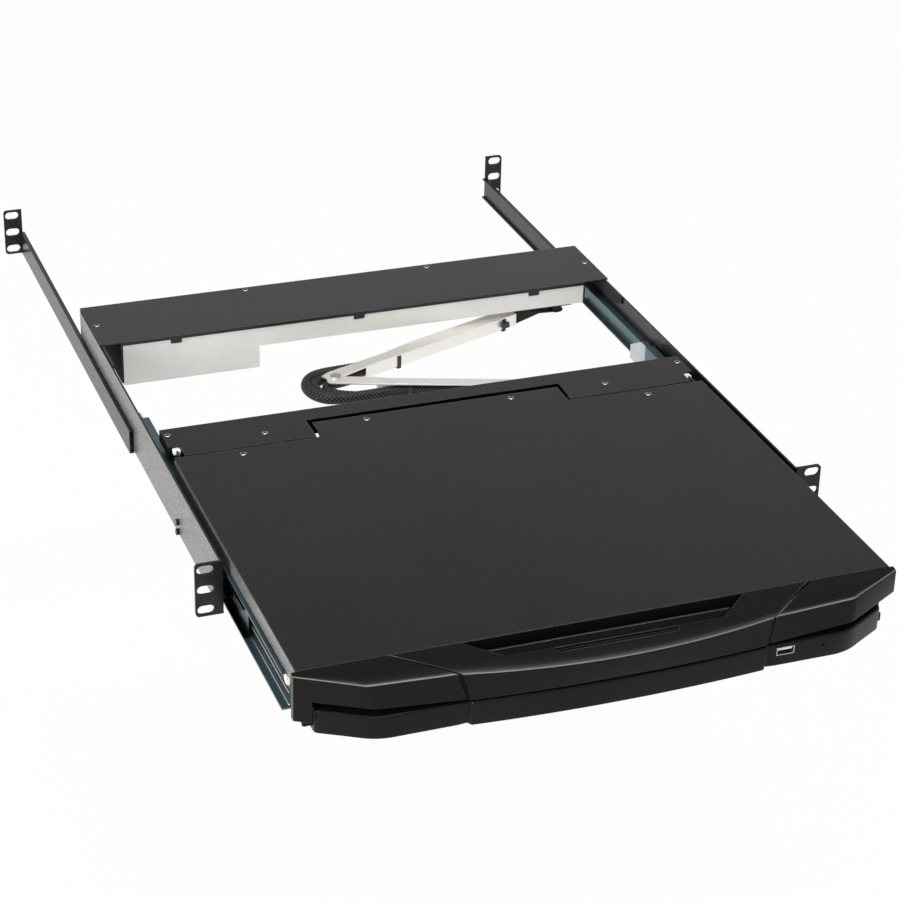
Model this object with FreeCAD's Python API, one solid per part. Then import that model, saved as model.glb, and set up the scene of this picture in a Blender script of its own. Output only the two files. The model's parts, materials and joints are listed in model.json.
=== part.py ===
import FreeCAD, Part

# Rackmount LCD console drawer, one rack unit high, in millimetres.
# Frame: X to the right, Y to the rear, Z up. The origin is the centre of the
# front ears' hole pattern, on the ears' front face. The drawer is drawn out by
# DRAWN_OUT from closed, and the lid is shut.

import math
import os

Vector = FreeCAD.Vector

# ---------------------------------------------------------------- rack interface
HOLE_OUT = 11.15           # slot centre outside the front bracket, 465.1 between columns
HOLE_PITCH = 15.875        # between the three holes of a column
SLOT_LENGTH = 12.0
SLOT_WIDTH = 7.0
EAR_EDGE = 7.35             # slot centre to the ear's outer edge
EAR_HEIGHT = 42.0
EAR_THICK = 2.0
EAR_CORNER = 3.0
RACK_DEPTH = 659.3         # front face of the front ears to rear face of the rear ears
UNIT_TOP = 22.0            # top of the covers above the ears' centre line

# ---------------------------------------------------------------- rack-side frame
SLIDE_SPACE = 10.6         # for a slide, tray's side to front bracket's web
FRAME_SHEET = 1.5
FRAME_LENGTH = 432.0       # ears' front face to the rear of the housing
BRACKET_TOP = 19.5
BRACKET_BOTTOM = -20.5
STUD_Y = 115.0
STUD_ZS = (-10.0, -18.0)
STUD_R = 2.5
STUD_PROUD = 2.5

REAR_BRACKET_FRONT = 250.0
REAR_CHANNEL_TOP = -1.5
REAR_CHANNEL_BOTTOM = -21.3
REAR_CHANNEL_DEPTH = 3.6
REAR_CHANNEL_GAP = 0.2     # channel's flange tips to the front bracket's face
REAR_STUD_YS = (315.0, 345.0)
REAR_STUD_R = 2.5
REAR_TRAVEL_IN = 50.0
REAR_TRAVEL_OUT = 60.0

# ---------------------------------------------------------------- slides
SLIDE_MID_Z = -6.5
RACK_MEMBER_HEIGHT = 18.0
MIDDLE_MEMBER_HEIGHT = 23.6
DRAWER_MEMBER_HEIGHT = 29.0
SLIDE_SHEET = 1.2
DRAWER_MEMBER_SHEET = 1.4
RACK_MEMBER_DEPTH = 5.4
MIDDLE_MEMBER_DEPTH = 5.2
DRAWER_MEMBER_DEPTH = 7.3
MEMBER_NEST_GAP = 1.6      # drawer member's web to middle member's web
RACK_MEMBER_YS = (10.0, 400.0)
MIDDLE_MEMBER_YS = (-40.0, 285.0)
DRAWER_MEMBER_YS = (-128.0, 250.0)
CAGE_CLEARANCE = 0.3
MIDDLE_END_SLANT = 22.0    # length of the slanted cut on the middle member's rear end
MIDDLE_END_Z = -5.8        # its lowest point

# ---------------------------------------------------------------- drawer
DRAWN_OUT = 150.0          # from closed to the position that is modelled
TRAY_WIDTH = 418.6
TRAY_SHEET = 1.2
TRAY_FRONT = -150.0
TRAY_REAR = 200.0
TRAY_BOTTOM = -20.5
TRAY_SIDE_TOP = 7.0
COVER_SHEET = 1.2
COVER_OVERHANG = 4.2       # past the tray's side
COVER_FRONT = 155.1
COVER_SKIRT = 8.0
COVER_EAR = 36.0           # the housing cover's flanges reach this far ahead of it
CORNER_NOTCH = (8.5, 171.0)  # width at each side, rear end in Y

# ---------------------------------------------------------------- lid
LID_OVERHANG = 4.7         # past the tray's side
LID_REAR = 153.3
LID_BOTTOM = 8.5
TONGUE_WIDTH = 200.4
TONGUE_REAR = 177.3
TONGUE_GAP = (3.5, 5.8)    # to the rear cover, beside and behind
HINGE_Y = 166.0
HINGE_Z = 16.0
HINGE_PIN_R = 1.5
HINGE_KNUCKLE_R = 3.2
HINGE_CLEARANCE = 0.05
HINGE_X = 75.0
HINGE_LEAF_WIDTH = 50.0
HINGE_LEAF_YS = (-14.0, 10.5)   # from the hinge's axis
HINGE_TRAY_KNUCKLE = 18.0
HINGE_LID_KNUCKLE = 12.0
PANEL_SIZE = (356.0, 284.0)
PANEL_THICK = 8.6
PICTURE_SIZE = (338.0, 270.0)
FRAME_PLATE = 1.7
OSD_BUTTONS = 4
OSD_PITCH = 16.0
OSD_TRAVEL = 0.6

# ---------------------------------------------------------------- bezels
BEZEL_WIDTH = 434.0
BEZEL_WALL = 2.2
WING_TOP_SLOPE = 0.15
CENTRE_TOP_SLOPE = 0.16
WING_STEP = 0.4            # the wings' top lies this far below the centre's
WING_BOTTOM = 3.5
CENTRE_BOTTOM = -1.0
WING_CORNER_Y = -155.0
WING_APEX = (175.0, -175.0, 18.5)
WING_APEX_FOOT = (170.5, -181.5)
CENTRE_REAR_X = 153.0
CENTRE_TOP = (112.0, -180.0, -190.5, 17.0)   # half width, side Y, middle Y, at this Z
CENTRE_FOOT = (107.0, -184.0, -188.5)
SKIRT_BOTTOM = -12.5
SKIRT_WIDTH = 11.0
RECESS_REAR = (102.0, -151.0)
RECESS_FRONT = (79.7, -171.0)
RECESS_FLOOR = 9.0
RECESS_WALL = 1.6
GROOVE_HALF = 43.3
GROOVE_YS = (-178.0, -174.8)
GROOVE_DEPTH = 1.4
LATCH_FRONT = -168.5
LATCH_REAR = -161.5
LATCH_HALF = (87.0, 79.0)  # half width at the rear and at the front
LOWER_WIDTH = 409.0
LOWER_BOTTOM = -21.0
LOWER_CORNER_Y = -161.0
LOWER_APEX_FOOT = (167.0, -181.5)
BEZEL_GAP = 1.5
USB_CENTRE = (121.0, -9.0)
USB_OUTER = (13.2, 5.8)
USB_DEPTH = 16.0
USB_SHEET = 0.4
RESET_CENTRE = (150.0, -10.4)
RESET_R = 1.5

# ---------------------------------------------------------------- keyboard
DECK_TOP = 3.2
DECK_SHEET = 1.2
DECK_REAR = 148.0
KEYS_ACROSS = 22.5         # pitches in the keyboard's width
KEYS_MARGIN = 6.8          # tray's side to the first key's cell
KEY_SPACING = 1.0
KEY_TAPER = 4.0
KEY_TOP = 7.2
KEY_BOTTOM = -0.8
KEY_PLATE_TOP = -3.8
KEY_PLATE_SHEET = 1.2
KEY_STEM = 5.0
KEY_TRAVEL = 2.5
KEY_FRONT_ROW_Y = -64.0
KEY_CLEARANCE = 0.5
TOUCHPAD_SIZE = (66.0, 42.0)
TOUCHPAD_MID_Y = -112.0
TOUCH_BUTTON_DEPTH = 11.0
TOUCH_TRAVEL = 0.8

# ---------------------------------------------------------------- rear housing
BOX_DEPTH = 74.0
BOX_LEFT_ROOM = 16.9       # front bracket's web to the housing's left wall
BOX_RIGHT_ROOM = 20.9
BOX_SHEET = 1.2
BOX_BOTTOM = -16.8
BOX_SHALLOW_BOTTOM = 2.5
BOX_STEP_X = -89.0         # deep on the left of this, shallow on the right
BOX_REAR_DEEP = 28.0        # length of the full-depth strip at the rear
SKIRT_GAP = 0.4             # cover's skirts outside the base's side walls
SKIRT_SHORT = 2.0           # and above the base's bottom
LIP_DROP = 3.0
TAB_XS = (-159.0, -3.0, 153.0)
TAB_SIZE = (9.0, 3.5)

# ---------------------------------------------------------------- cable arm
ARM_PIVOT_IN = 22.0         # pivot inside the housing's right wall
ARM_PIVOT_BACK = 7.0        # pivot behind the housing's front wall
ARM_LINK = 234.4            # between the pivots of each link
ARM_SHEET = 1.2
ARM_TOP = -0.2
ARM_BOTTOM = -12.2
ARM_WALL_START = 33.0       # from the elbow, where each link's upright wall begins
REAR_LINK_END = 198.0
REAR_LINK_YS = (1.6, 14.9)  # inner and outer edges, out from the link's own line
REAR_TONGUE_Y = 12.4
REAR_LINK_SKEW = 2.1        # degrees between the rear link's line and its pivots
FRONT_LINK_END = 186.0
FRONT_LINK_YS = (2.0, 12.2)
ARM_EYE_R = 6.0
ARM_PIN_R = 2.0
ARM_PIN_CLEARANCE = 0.08
ARM_SLOT_REACH = 29.5       # the slot behind and in front of the tray pivot
ARM_SLOT_LEAD = 1.8
CABLE_R = 4.7
CABLE_Z = -8.4
CABLE_LOOP_R = 24.0         # round the elbow's pivot
CABLE_LEAVES = 17.0         # degrees by which it turns in towards each link
CABLE_END_RUN = 7.0         # straight ends of the loop
LEAD_R = 4.2
LEAD_Z = -8.8
TIE_WIDTH = 3.4
TIE_SHEET = 0.6
REAR_TIES = ((68.0, 8.15), (184.0, 16.0))   # place along the link, cable's centre out from its line
FRONT_TIES = ((60.0, 8.55), (128.0, 10.25))

SCREW_HEAD_R = 2.4
SCREW_SHANK_R = 1.5
SCREW_HEAD = 0.4
SCREW_LENGTH = 4.0

# ================================================================ derived places
TRAY_HALF = TRAY_WIDTH / 2
WEB_INNER = TRAY_HALF + SLIDE_SPACE
FRAME_HALF = WEB_INNER + FRAME_SHEET
HOLE_X = FRAME_HALF + HOLE_OUT
EAR_HALF = HOLE_X + EAR_EDGE
COVER_HALF = TRAY_HALF + COVER_OVERHANG
LID_HALF = TRAY_HALF + LID_OVERHANG
TONGUE_HALF = TONGUE_WIDTH / 2
BEZEL_HALF = BEZEL_WIDTH / 2
LOWER_HALF = LOWER_WIDTH / 2
COVER_UNDER = UNIT_TOP - COVER_SHEET
DECK_UNDER = DECK_TOP - DECK_SHEET
TRAY_FLOOR = TRAY_BOTTOM + TRAY_SHEET
PANEL_BOTTOM = LID_BOTTOM + FRAME_PLATE
PANEL_MID_Y = (TRAY_FRONT + LID_REAR) / 2
BOX_FRONT = FRAME_LENGTH - BOX_DEPTH
BOX_STEP_Y = FRAME_LENGTH - BOX_REAR_DEEP
BOX_LEFT = BOX_LEFT_ROOM - WEB_INNER
BOX_RIGHT = WEB_INNER - BOX_RIGHT_ROOM
KEY_PITCH = (TRAY_WIDTH - 2 * KEYS_MARGIN) / KEYS_ACROSS
KEY_CAP = KEY_PITCH - KEY_SPACING
KEY_CAP_TOP = KEY_CAP - KEY_TAPER
ARM_PIVOT = (BOX_RIGHT - ARM_PIVOT_IN, BOX_FRONT + ARM_PIVOT_BACK)
ARM_TRAY_PIVOT_Y = ARM_PIVOT[1] - DRAWN_OUT
ARM_SIN = DRAWN_OUT / 2 / ARM_LINK
ARM_ANGLE = math.degrees(math.asin(ARM_SIN))
ARM_ELBOW = (
    ARM_PIVOT[0] - ARM_LINK * math.cos(math.radians(ARM_ANGLE)),
    (ARM_PIVOT[1] + ARM_TRAY_PIVOT_Y) / 2,
)
REAR_LINK_TOP = ARM_TOP - ARM_SHEET - 0.3   # the front link lies over the rear one at the elbow


# ================================================================ shape helpers
def box(x0, x1, y0, y1, z0, z1):
    """A block between two corners, given in any order."""
    low = Vector(min(x0, x1), min(y0, y1), min(z0, z1))
    return Part.makeBox(abs(x1 - x0), abs(y1 - y0), abs(z1 - z0), low)


def rod(start, axis, radius, length):
    """A round bar from a point along an axis."""
    return Part.makeCylinder(radius, length, Vector(*start), Vector(*axis))


def face_of(points):
    """A flat face through a closed ring of points."""
    corners = [Vector(*p) for p in points]
    return Part.Face(Part.makePolygon(corners + corners[:1]))


def prism_z(outline, z0, z1):
    """A plan outline of (x, y) points carried from z0 to z1."""
    return face_of([(x, y, z0) for x, y in outline]).extrude(Vector(0, 0, z1 - z0))


def prism_x(outline, x0, x1):
    """A side outline of (y, z) points carried from x0 to x1."""
    return face_of([(x0, y, z) for y, z in outline]).extrude(Vector(x1 - x0, 0, 0))


def prism_y(outline, y0, y1):
    """A front outline of (x, z) points carried from y0 to y1."""
    return face_of([(x, y0, z) for x, z in outline]).extrude(Vector(0, y1 - y0, 0))


def joined(shapes):
    """One solid from shapes that touch or overlap."""
    first, *rest = shapes
    return first.fuse(rest).removeSplitter() if rest else first


def flipped(shape):
    """The left-hand copy of a right-hand piece."""
    return shape.mirror(Vector(0, 0, 0), Vector(1, 0, 0))


def both_sides(shape):
    """A right-hand piece and its left-hand copy."""
    return [shape, flipped(shape)]


def channel_y(x_web, x_tips, z0, z1, sheet, y0, y1):
    """A C channel along Y: an upright web at x_web and two flanges that reach x_tips."""
    inward = 1 if x_tips > x_web else -1
    outer = box(x_web, x_tips, y0, y1, z0, z1)
    hollow = box(x_web + inward * sheet, x_tips + inward, y0 - 1, y1 + 1, z0 + sheet, z1 - sheet)
    return outer.cut(hollow)


def slot_y(x, z, y0, y1, radius, length_x, length_z=0.0):
    """A cutter along Y with rounded ends: a slot length_x long in X, centred on (x, z)."""
    half = length_x / 2 - radius
    body = box(x - half, x + half, y0, y1, z - radius, z + radius)
    ends = [rod((x + s * half, y0, z), (0, 1, 0), radius, y1 - y0) for s in (-1, 1)]
    return joined([body] + ends)


def pan_screw(x, y, z, length=SCREW_LENGTH):
    """A low-headed screw standing on a cover at height z, its shank pointing down."""
    head = rod((x, y, z), (0, 0, 1), SCREW_HEAD_R, SCREW_HEAD)
    shank = rod((x, y, z - length), (0, 0, 1), SCREW_SHANK_R, length)
    return head.fuse(shank).removeSplitter()


def screw_holes(places, z, length=SCREW_LENGTH):
    """Cutters for the shanks of screws at (x, y) places."""
    return [rod((x, y, z - length - 1), (0, 0, 1), SCREW_SHANK_R, length + 2) for x, y in places]


# ================================================================ rack-side frame
def ear(y0, y1, web_inner):
    """The right-hand rack ear between y0 and y1, with its three slots."""
    plate = box(web_inner, EAR_HALF, y0, y1, -EAR_HEIGHT / 2, EAR_HEIGHT / 2)
    outer = [e for e in plate.Edges if is_corner(e, EAR_HALF)]
    plate = plate.makeFillet(EAR_CORNER, outer)
    for row in (-1, 0, 1):
        plate = plate.cut(slot_y(HOLE_X, row * HOLE_PITCH, y0 - 1, y1 + 1, SLOT_WIDTH / 2, SLOT_LENGTH))
    return plate


def is_corner(edge, x):
    """True for an edge along Y that lies at x."""
    ends = [v.Point for v in edge.Vertexes]
    return len(ends) == 2 and all(abs(p.x - x) < 1e-6 for p in ends) and abs(ends[0].z - ends[1].z) < 1e-6


def front_bracket():
    """Right-hand bracket: an upright web with two studs and the ear bent out at the front."""
    web = box(WEB_INNER, FRAME_HALF, 0, FRAME_LENGTH, BRACKET_BOTTOM, BRACKET_TOP)
    reach = REAR_STUD_R + 0.25
    mid_z = (REAR_CHANNEL_TOP + REAR_CHANNEL_BOTTOM) / 2
    slot_front = REAR_STUD_YS[0] - REAR_TRAVEL_IN - reach
    slot_rear = REAR_STUD_YS[1] + REAR_TRAVEL_OUT + reach
    slot = box(WEB_INNER - 1, FRAME_HALF + 1, slot_front, slot_rear, mid_z - reach, mid_z + reach)
    tab = box(FRAME_HALF - 12.4, WEB_INNER + 0.5, BOX_FRONT + 30, BOX_FRONT + 44, BRACKET_TOP - 0.2, COVER_UNDER)
    studs = [rod((FRAME_HALF - 0.5, STUD_Y, z), (1, 0, 0), STUD_R, STUD_PROUD + 0.5) for z in STUD_ZS]
    body = joined([web, ear(0, EAR_THICK, WEB_INNER), tab] + studs)
    hole = screw_holes([(FRAME_HALF - 5.9, BOX_FRONT + 37)], UNIT_TOP)
    return body.cut([slot] + hole)


def rear_bracket():
    """Right-hand telescoping bracket: a channel over the front bracket, with the rear ear."""
    tips = FRAME_HALF + REAR_CHANNEL_GAP
    outer = tips + REAR_CHANNEL_DEPTH
    channel = channel_y(outer, tips, REAR_CHANNEL_BOTTOM, REAR_CHANNEL_TOP, FRAME_SHEET,
                        REAR_BRACKET_FRONT, RACK_DEPTH)
    mid_z = (REAR_CHANNEL_TOP + REAR_CHANNEL_BOTTOM) / 2
    studs = [rod((WEB_INNER + 0.2, y, mid_z), (1, 0, 0), REAR_STUD_R, outer - FRAME_SHEET / 2 - WEB_INNER)
             for y in REAR_STUD_YS]
    return joined([channel, ear(RACK_DEPTH - EAR_THICK, RACK_DEPTH, outer - FRAME_SHEET)] + studs)


# ================================================================ slides
def member(x_web, depth, height, sheet, ys, inward):
    """One member of the right-hand slide, a channel open towards inward."""
    return channel_y(x_web, x_web + inward * depth, SLIDE_MID_Z - height / 2, SLIDE_MID_Z + height / 2,
                     sheet, ys[0], ys[1])


def rack_member():
    """Fixed to the bracket's web, open towards the drawer."""
    return member(WEB_INNER, RACK_MEMBER_DEPTH, RACK_MEMBER_HEIGHT, SLIDE_SHEET, RACK_MEMBER_YS, -1)


def middle_web_x():
    """Where the middle member's web stands, outside the drawer member's."""
    return TRAY_HALF + DRAWER_MEMBER_SHEET + MEMBER_NEST_GAP


def middle_member():
    """Between the other two, open towards the bracket, its rear end cut at a slant."""
    channel = member(middle_web_x(), MIDDLE_MEMBER_DEPTH, MIDDLE_MEMBER_HEIGHT, SLIDE_SHEET,
                     MIDDLE_MEMBER_YS, 1)
    rear = MIDDLE_MEMBER_YS[1]
    over = SLIDE_MID_Z + MIDDLE_MEMBER_HEIGHT / 2 + 1
    slant = [(rear, MIDDLE_END_Z), (rear - MIDDLE_END_SLANT, over)]
    corner = slant + [(rear + 1, over), (rear + 1, MIDDLE_END_Z)]
    return channel.cut(prism_x(corner, middle_web_x() - 1, WEB_INNER))


def drawer_member():
    """Fixed to the tray's side, open towards the bracket."""
    return member(TRAY_HALF, DRAWER_MEMBER_DEPTH, DRAWER_MEMBER_HEIGHT, DRAWER_MEMBER_SHEET,
                  DRAWER_MEMBER_YS, 1)


def ball_cages():
    """Four ball strips that ride on the right-hand middle member, two inside and two outside."""
    x0 = middle_web_x() + SLIDE_SHEET + 0.4
    x1 = middle_web_x() + MIDDLE_MEMBER_DEPTH - 0.2
    half = MIDDLE_MEMBER_HEIGHT / 2
    outer_gap = (DRAWER_MEMBER_HEIGHT / 2 - DRAWER_MEMBER_SHEET, half)
    inner_gap = (half - SLIDE_SHEET, RACK_MEMBER_HEIGHT / 2)
    strips = []
    for far, near in (outer_gap, inner_gap):
        for side in (-1, 1):
            z0 = SLIDE_MID_Z + side * (near + CAGE_CLEARANCE)
            z1 = SLIDE_MID_Z + side * (far - CAGE_CLEARANCE)
            ys = (100.0, 200.0) if far > half else (30.0, 130.0)
            strips.append(box(x0, x1, ys[0], ys[1], z0, z1))
    return strips


# ================================================================ rear housing
def box_plan_cells():
    """The housing's inner volume as blocks: (x0, x1, y0, y1, floor)."""
    return (
        (BOX_LEFT, BOX_STEP_X, BOX_FRONT, FRAME_LENGTH, BOX_BOTTOM),
        (BOX_STEP_X, BOX_RIGHT, BOX_FRONT, BOX_STEP_Y, BOX_SHALLOW_BOTTOM),
        (BOX_STEP_X, BOX_RIGHT, BOX_STEP_Y, FRAME_LENGTH, BOX_BOTTOM),
    )


def box_base():
    """The housing's folded base: deep at the left and rear, shallow over the arm's bay."""
    outer = joined([box(x0, x1, y0, y1, z, COVER_UNDER) for x0, x1, y0, y1, z in box_plan_cells()])
    t = BOX_SHEET
    cells = [
        box(BOX_LEFT + t, BOX_STEP_X - t, BOX_FRONT + t, FRAME_LENGTH - t, BOX_BOTTOM + t, COVER_UNDER + 1),
        box(BOX_STEP_X - 2 * t, BOX_RIGHT - t, BOX_FRONT + t, FRAME_LENGTH - t, BOX_SHALLOW_BOTTOM + t,
            COVER_UNDER + 1),
        box(BOX_STEP_X - 2 * t, BOX_RIGHT - t, BOX_STEP_Y + t, FRAME_LENGTH - t, BOX_BOTTOM + t,
            COVER_UNDER + 1),
    ]
    base = outer.cut(cells)
    rear = FRAME_LENGTH
    ports = [
        box(BOX_LEFT + 25, BOX_LEFT + 55, rear - 5, rear + 5, -11.5, 12.0),
        slot_y(60, 8.0, rear - 5, rear + 5, 5.0, 18.0),
        rod((BOX_RIGHT - 24, BOX_STEP_Y - 2, CABLE_Z), (0, 1, 0), CABLE_R + 1.0, 6),
    ]
    for column in range(6):
        for row in range(2):
            ports.append(slot_y(-60 + 16 * column, 8 + 7 * row, rear - 5, rear + 5, 1.2, 11.0))
    hooks = [box(x - 1, x + 1, rear - 0.1, rear + 5, 12, 18) for x in (89.5, 103.6)]
    return joined([base.cut(ports)] + hooks)


def box_cover():
    """The housing's top plate, with side flanges inside the brackets, a front lip and hanging tabs."""
    plate = box(-FRAME_HALF, FRAME_HALF, BOX_FRONT, FRAME_LENGTH, COVER_UNDER, UNIT_TOP)
    tip = BOX_FRONT - COVER_EAR
    flange = prism_x([
        (tip, COVER_UNDER), (FRAME_LENGTH, COVER_UNDER), (FRAME_LENGTH, 9.0), (tip + 13, 9.0), (tip, 14.0),
    ], WEB_INNER - COVER_SHEET, WEB_INNER)
    notch = box(WEB_INNER - 12, WEB_INNER + 1, BOX_FRONT + 29, BOX_FRONT + 45, 8, COVER_UNDER)
    flange = flange.cut(notch)
    lip = box(BOX_LEFT, BOX_RIGHT, BOX_FRONT - COVER_SHEET, BOX_FRONT, UNIT_TOP - LIP_DROP, UNIT_TOP)
    width, drop = TAB_SIZE
    tabs = [box(x - width / 2, x + width / 2, BOX_FRONT - COVER_SHEET, BOX_FRONT,
                UNIT_TOP - LIP_DROP - drop, UNIT_TOP - LIP_DROP) for x in TAB_XS]
    cover = joined([plate, lip] + both_sides(flange) + tabs + box_skirts())
    return cover.cut(screw_holes(box_screw_places(), UNIT_TOP))


def box_skirts():
    """The cover's upright skirts, outside the base's two side walls."""
    left = BOX_LEFT - SKIRT_GAP
    right = BOX_RIGHT + SKIRT_GAP
    left_foot = BOX_BOTTOM + SKIRT_SHORT
    right_foot = BOX_SHALLOW_BOTTOM + SKIRT_SHORT
    return [
        box(left - COVER_SHEET, left, BOX_FRONT, FRAME_LENGTH, left_foot, COVER_UNDER),
        box(right, right + COVER_SHEET, BOX_FRONT, FRAME_LENGTH, right_foot, COVER_UNDER),
    ]


def box_screw_places():
    """Side screws into the brackets' tabs, rear screws into the base's rear strip."""
    side = FRAME_HALF - 5.9
    return [(-side, BOX_FRONT + 37), (side, BOX_FRONT + 37), (-81, FRAME_LENGTH - 5), (81, FRAME_LENGTH - 5)]


def box_board():
    """The housing's circuit board on four posts."""
    x0 = BOX_STEP_X + 19
    x1 = BOX_RIGHT - 49
    y0 = BOX_STEP_Y + 4
    y1 = FRAME_LENGTH - 4
    foot = BOX_BOTTOM + BOX_SHEET
    under = foot + 7.6
    board = box(x0, x1, y0, y1, under, under + 1.6)
    posts = [rod((x, (y0 + y1) / 2, foot), (0, 0, 1), 3, under - foot) for x in (x0 + 10, x1 - 10)]
    return joined([board] + posts)


def power_inlet():
    """A three-pin appliance inlet in the rear wall."""
    rear = FRAME_LENGTH
    x0 = BOX_LEFT + 25.1
    x1 = BOX_LEFT + 54.9
    body = box(x0, x1, rear - 20, rear - BOX_SHEET, -11.4, 11.9)
    nose = box(x0, x1, rear - BOX_SHEET, rear + 1.6, -11.4, 11.9)
    socket = box(BOX_LEFT + 29, BOX_LEFT + 51, rear - 14, rear + 5, -7.5, 8.0)
    pins = [box(BOX_LEFT + x - 1, BOX_LEFT + x + 1, rear - 15, rear - 2, z - 2, z + 2)
            for x, z in ((34, -1), (40, 3), (46, -1))]
    return joined([joined([body, nose]).cut(socket)] + pins)


def console_port():
    """The D-shaped console port with its two hex posts."""
    rear = FRAME_LENGTH
    shell = slot_y(60, 8.0, rear - 8, rear + 5.5, 4.9, 17.8).cut(slot_y(60, 8.0, rear - 2, rear + 9, 4.2, 16.4))
    posts = [rod((60 + s * 12.5, rear, 8.0), (0, 1, 0), 2.4, 5) for s in (-1, 1)]
    return [shell] + posts


# ================================================================ drawer
def tray_pan():
    """The drawer's folded pan: floor, sides that rise at the rear, front and rear walls."""
    t = TRAY_SHEET
    floor = box(-TRAY_HALF, TRAY_HALF, TRAY_FRONT, TRAY_REAR - t, TRAY_BOTTOM, TRAY_FLOOR)
    side = prism_x([
        (TRAY_FRONT, TRAY_BOTTOM), (TRAY_REAR - t, TRAY_BOTTOM), (TRAY_REAR - t, COVER_UNDER),
        (COVER_FRONT + 1, COVER_UNDER), (COVER_FRONT + 1, TRAY_SIDE_TOP), (TRAY_FRONT, TRAY_SIDE_TOP),
    ], TRAY_HALF - t, TRAY_HALF)
    front = box(-TRAY_HALF, TRAY_HALF, TRAY_FRONT, TRAY_FRONT + t, TRAY_BOTTOM, DECK_UNDER)
    rear = box(-TRAY_HALF, TRAY_HALF, TRAY_REAR - 2 * t, TRAY_REAR - t, TRAY_BOTTOM, COVER_UNDER)
    window = box(arm_window()[0], arm_window()[1], TRAY_REAR - 4 * t, TRAY_REAR + 1, anchor_z()[0] - 0.4, 1.0)
    pan = joined([floor, front, rear] + both_sides(side) + cover_seats())
    return pan.cut([window] + screw_holes(cover_screw_places(), UNIT_TOP))


def arm_window():
    """The stretch of the tray's rear wall that the folded arm passes through."""
    return ARM_PIVOT[0] - ARM_LINK - 40.0, ARM_PIVOT[0] + 16.0


def cover_outline():
    """Plan of the rear cover: a C round the lid's tongue, with notched front corners."""
    width, notch_rear = CORNER_NOTCH
    inner = TONGUE_HALF + TONGUE_GAP[0]
    right = [
        (inner, TONGUE_REAR + TONGUE_GAP[1]), (inner, COVER_FRONT), (COVER_HALF - width, COVER_FRONT),
        (COVER_HALF - width, notch_rear), (COVER_HALF, notch_rear), (COVER_HALF, TRAY_REAR),
    ]
    return right + [(-x, y) for x, y in reversed(right)]


def rear_cover():
    """The drawer's rear cover, with skirts at the rear and sides."""
    plate = prism_z(cover_outline(), COVER_UNDER, UNIT_TOP)
    t = COVER_SHEET
    skirt_z = COVER_UNDER - COVER_SKIRT
    rear = box(-COVER_HALF, COVER_HALF, TRAY_REAR - t, TRAY_REAR, skirt_z, COVER_UNDER)
    side = box(COVER_HALF - t, COVER_HALF, CORNER_NOTCH[1], TRAY_REAR, skirt_z, COVER_UNDER)
    cover = joined([plate, rear] + both_sides(side))
    return cover.cut(screw_holes(cover_screw_places(), UNIT_TOP))


def cover_screw_places():
    """The rear cover's four screws."""
    return [(s * x, y) for s in (-1, 1) for x, y in ((COVER_HALF - 3.9, 190.0), (139.0, 172.0))]


def cover_seats():
    """Posts and corner blocks of the tray that the rear cover's screws go into."""
    posts = [rod((s * 139.0, 172.0, TRAY_BOTTOM), (0, 0, 1), 4.0, COVER_UNDER - TRAY_BOTTOM) for s in (-1, 1)]
    outer = COVER_HALF - COVER_SHEET - 0.3
    block = box(outer - 8, outer, 184, 196, COVER_UNDER - 5.0, COVER_UNDER)
    return posts + both_sides(block)


def tray_board():
    """The keyboard and video board in the rear compartment, on posts."""
    x0 = 11.3 - TRAY_HALF
    board = box(x0, x0 + 52, 157, 180, -12.0, -10.4)
    posts = [rod((x, 168, TRAY_FLOOR), (0, 0, 1), 3, -12.0 - TRAY_FLOOR) for x in (x0 + 7, x0 + 45)]
    return joined([board] + posts)


def keyboard_deck():
    """The deck over the keyboard: a plate with key and touchpad openings, on side walls."""
    half = TRAY_HALF - TRAY_SHEET - 0.1
    front = TRAY_FRONT + TRAY_SHEET
    plate = box(-half, half, front, DECK_REAR, DECK_UNDER, DECK_TOP)
    leg = box(half - TRAY_SHEET, half, front, DECK_REAR, TRAY_FLOOR, DECK_UNDER)
    back = box(-half, half, DECK_REAR - TRAY_SHEET, DECK_REAR, TRAY_FLOOR, DECK_UNDER)
    openings = [box(x0, x1, y0, y1, DECK_UNDER - 1, DECK_TOP + 1) for x0, x1, y0, y1 in key_openings()]
    w, d = TOUCHPAD_SIZE
    y0 = touch_button_y() - TOUCH_BUTTON_DEPTH / 2 - KEY_CLEARANCE
    openings.append(box(-w / 2 - KEY_CLEARANCE, w / 2 + KEY_CLEARANCE, y0, TOUCHPAD_MID_Y + d / 2 + KEY_CLEARANCE,
                        DECK_UNDER - 1, DECK_TOP + 1))
    return joined([plate, back] + both_sides(leg)).cut(openings)


def touch_button_y():
    """The middle of the touchpad's buttons, in Y."""
    return TOUCHPAD_MID_Y - TOUCHPAD_SIZE[1] / 2 - KEY_CLEARANCE - TOUCH_BUTTON_DEPTH / 2


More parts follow.
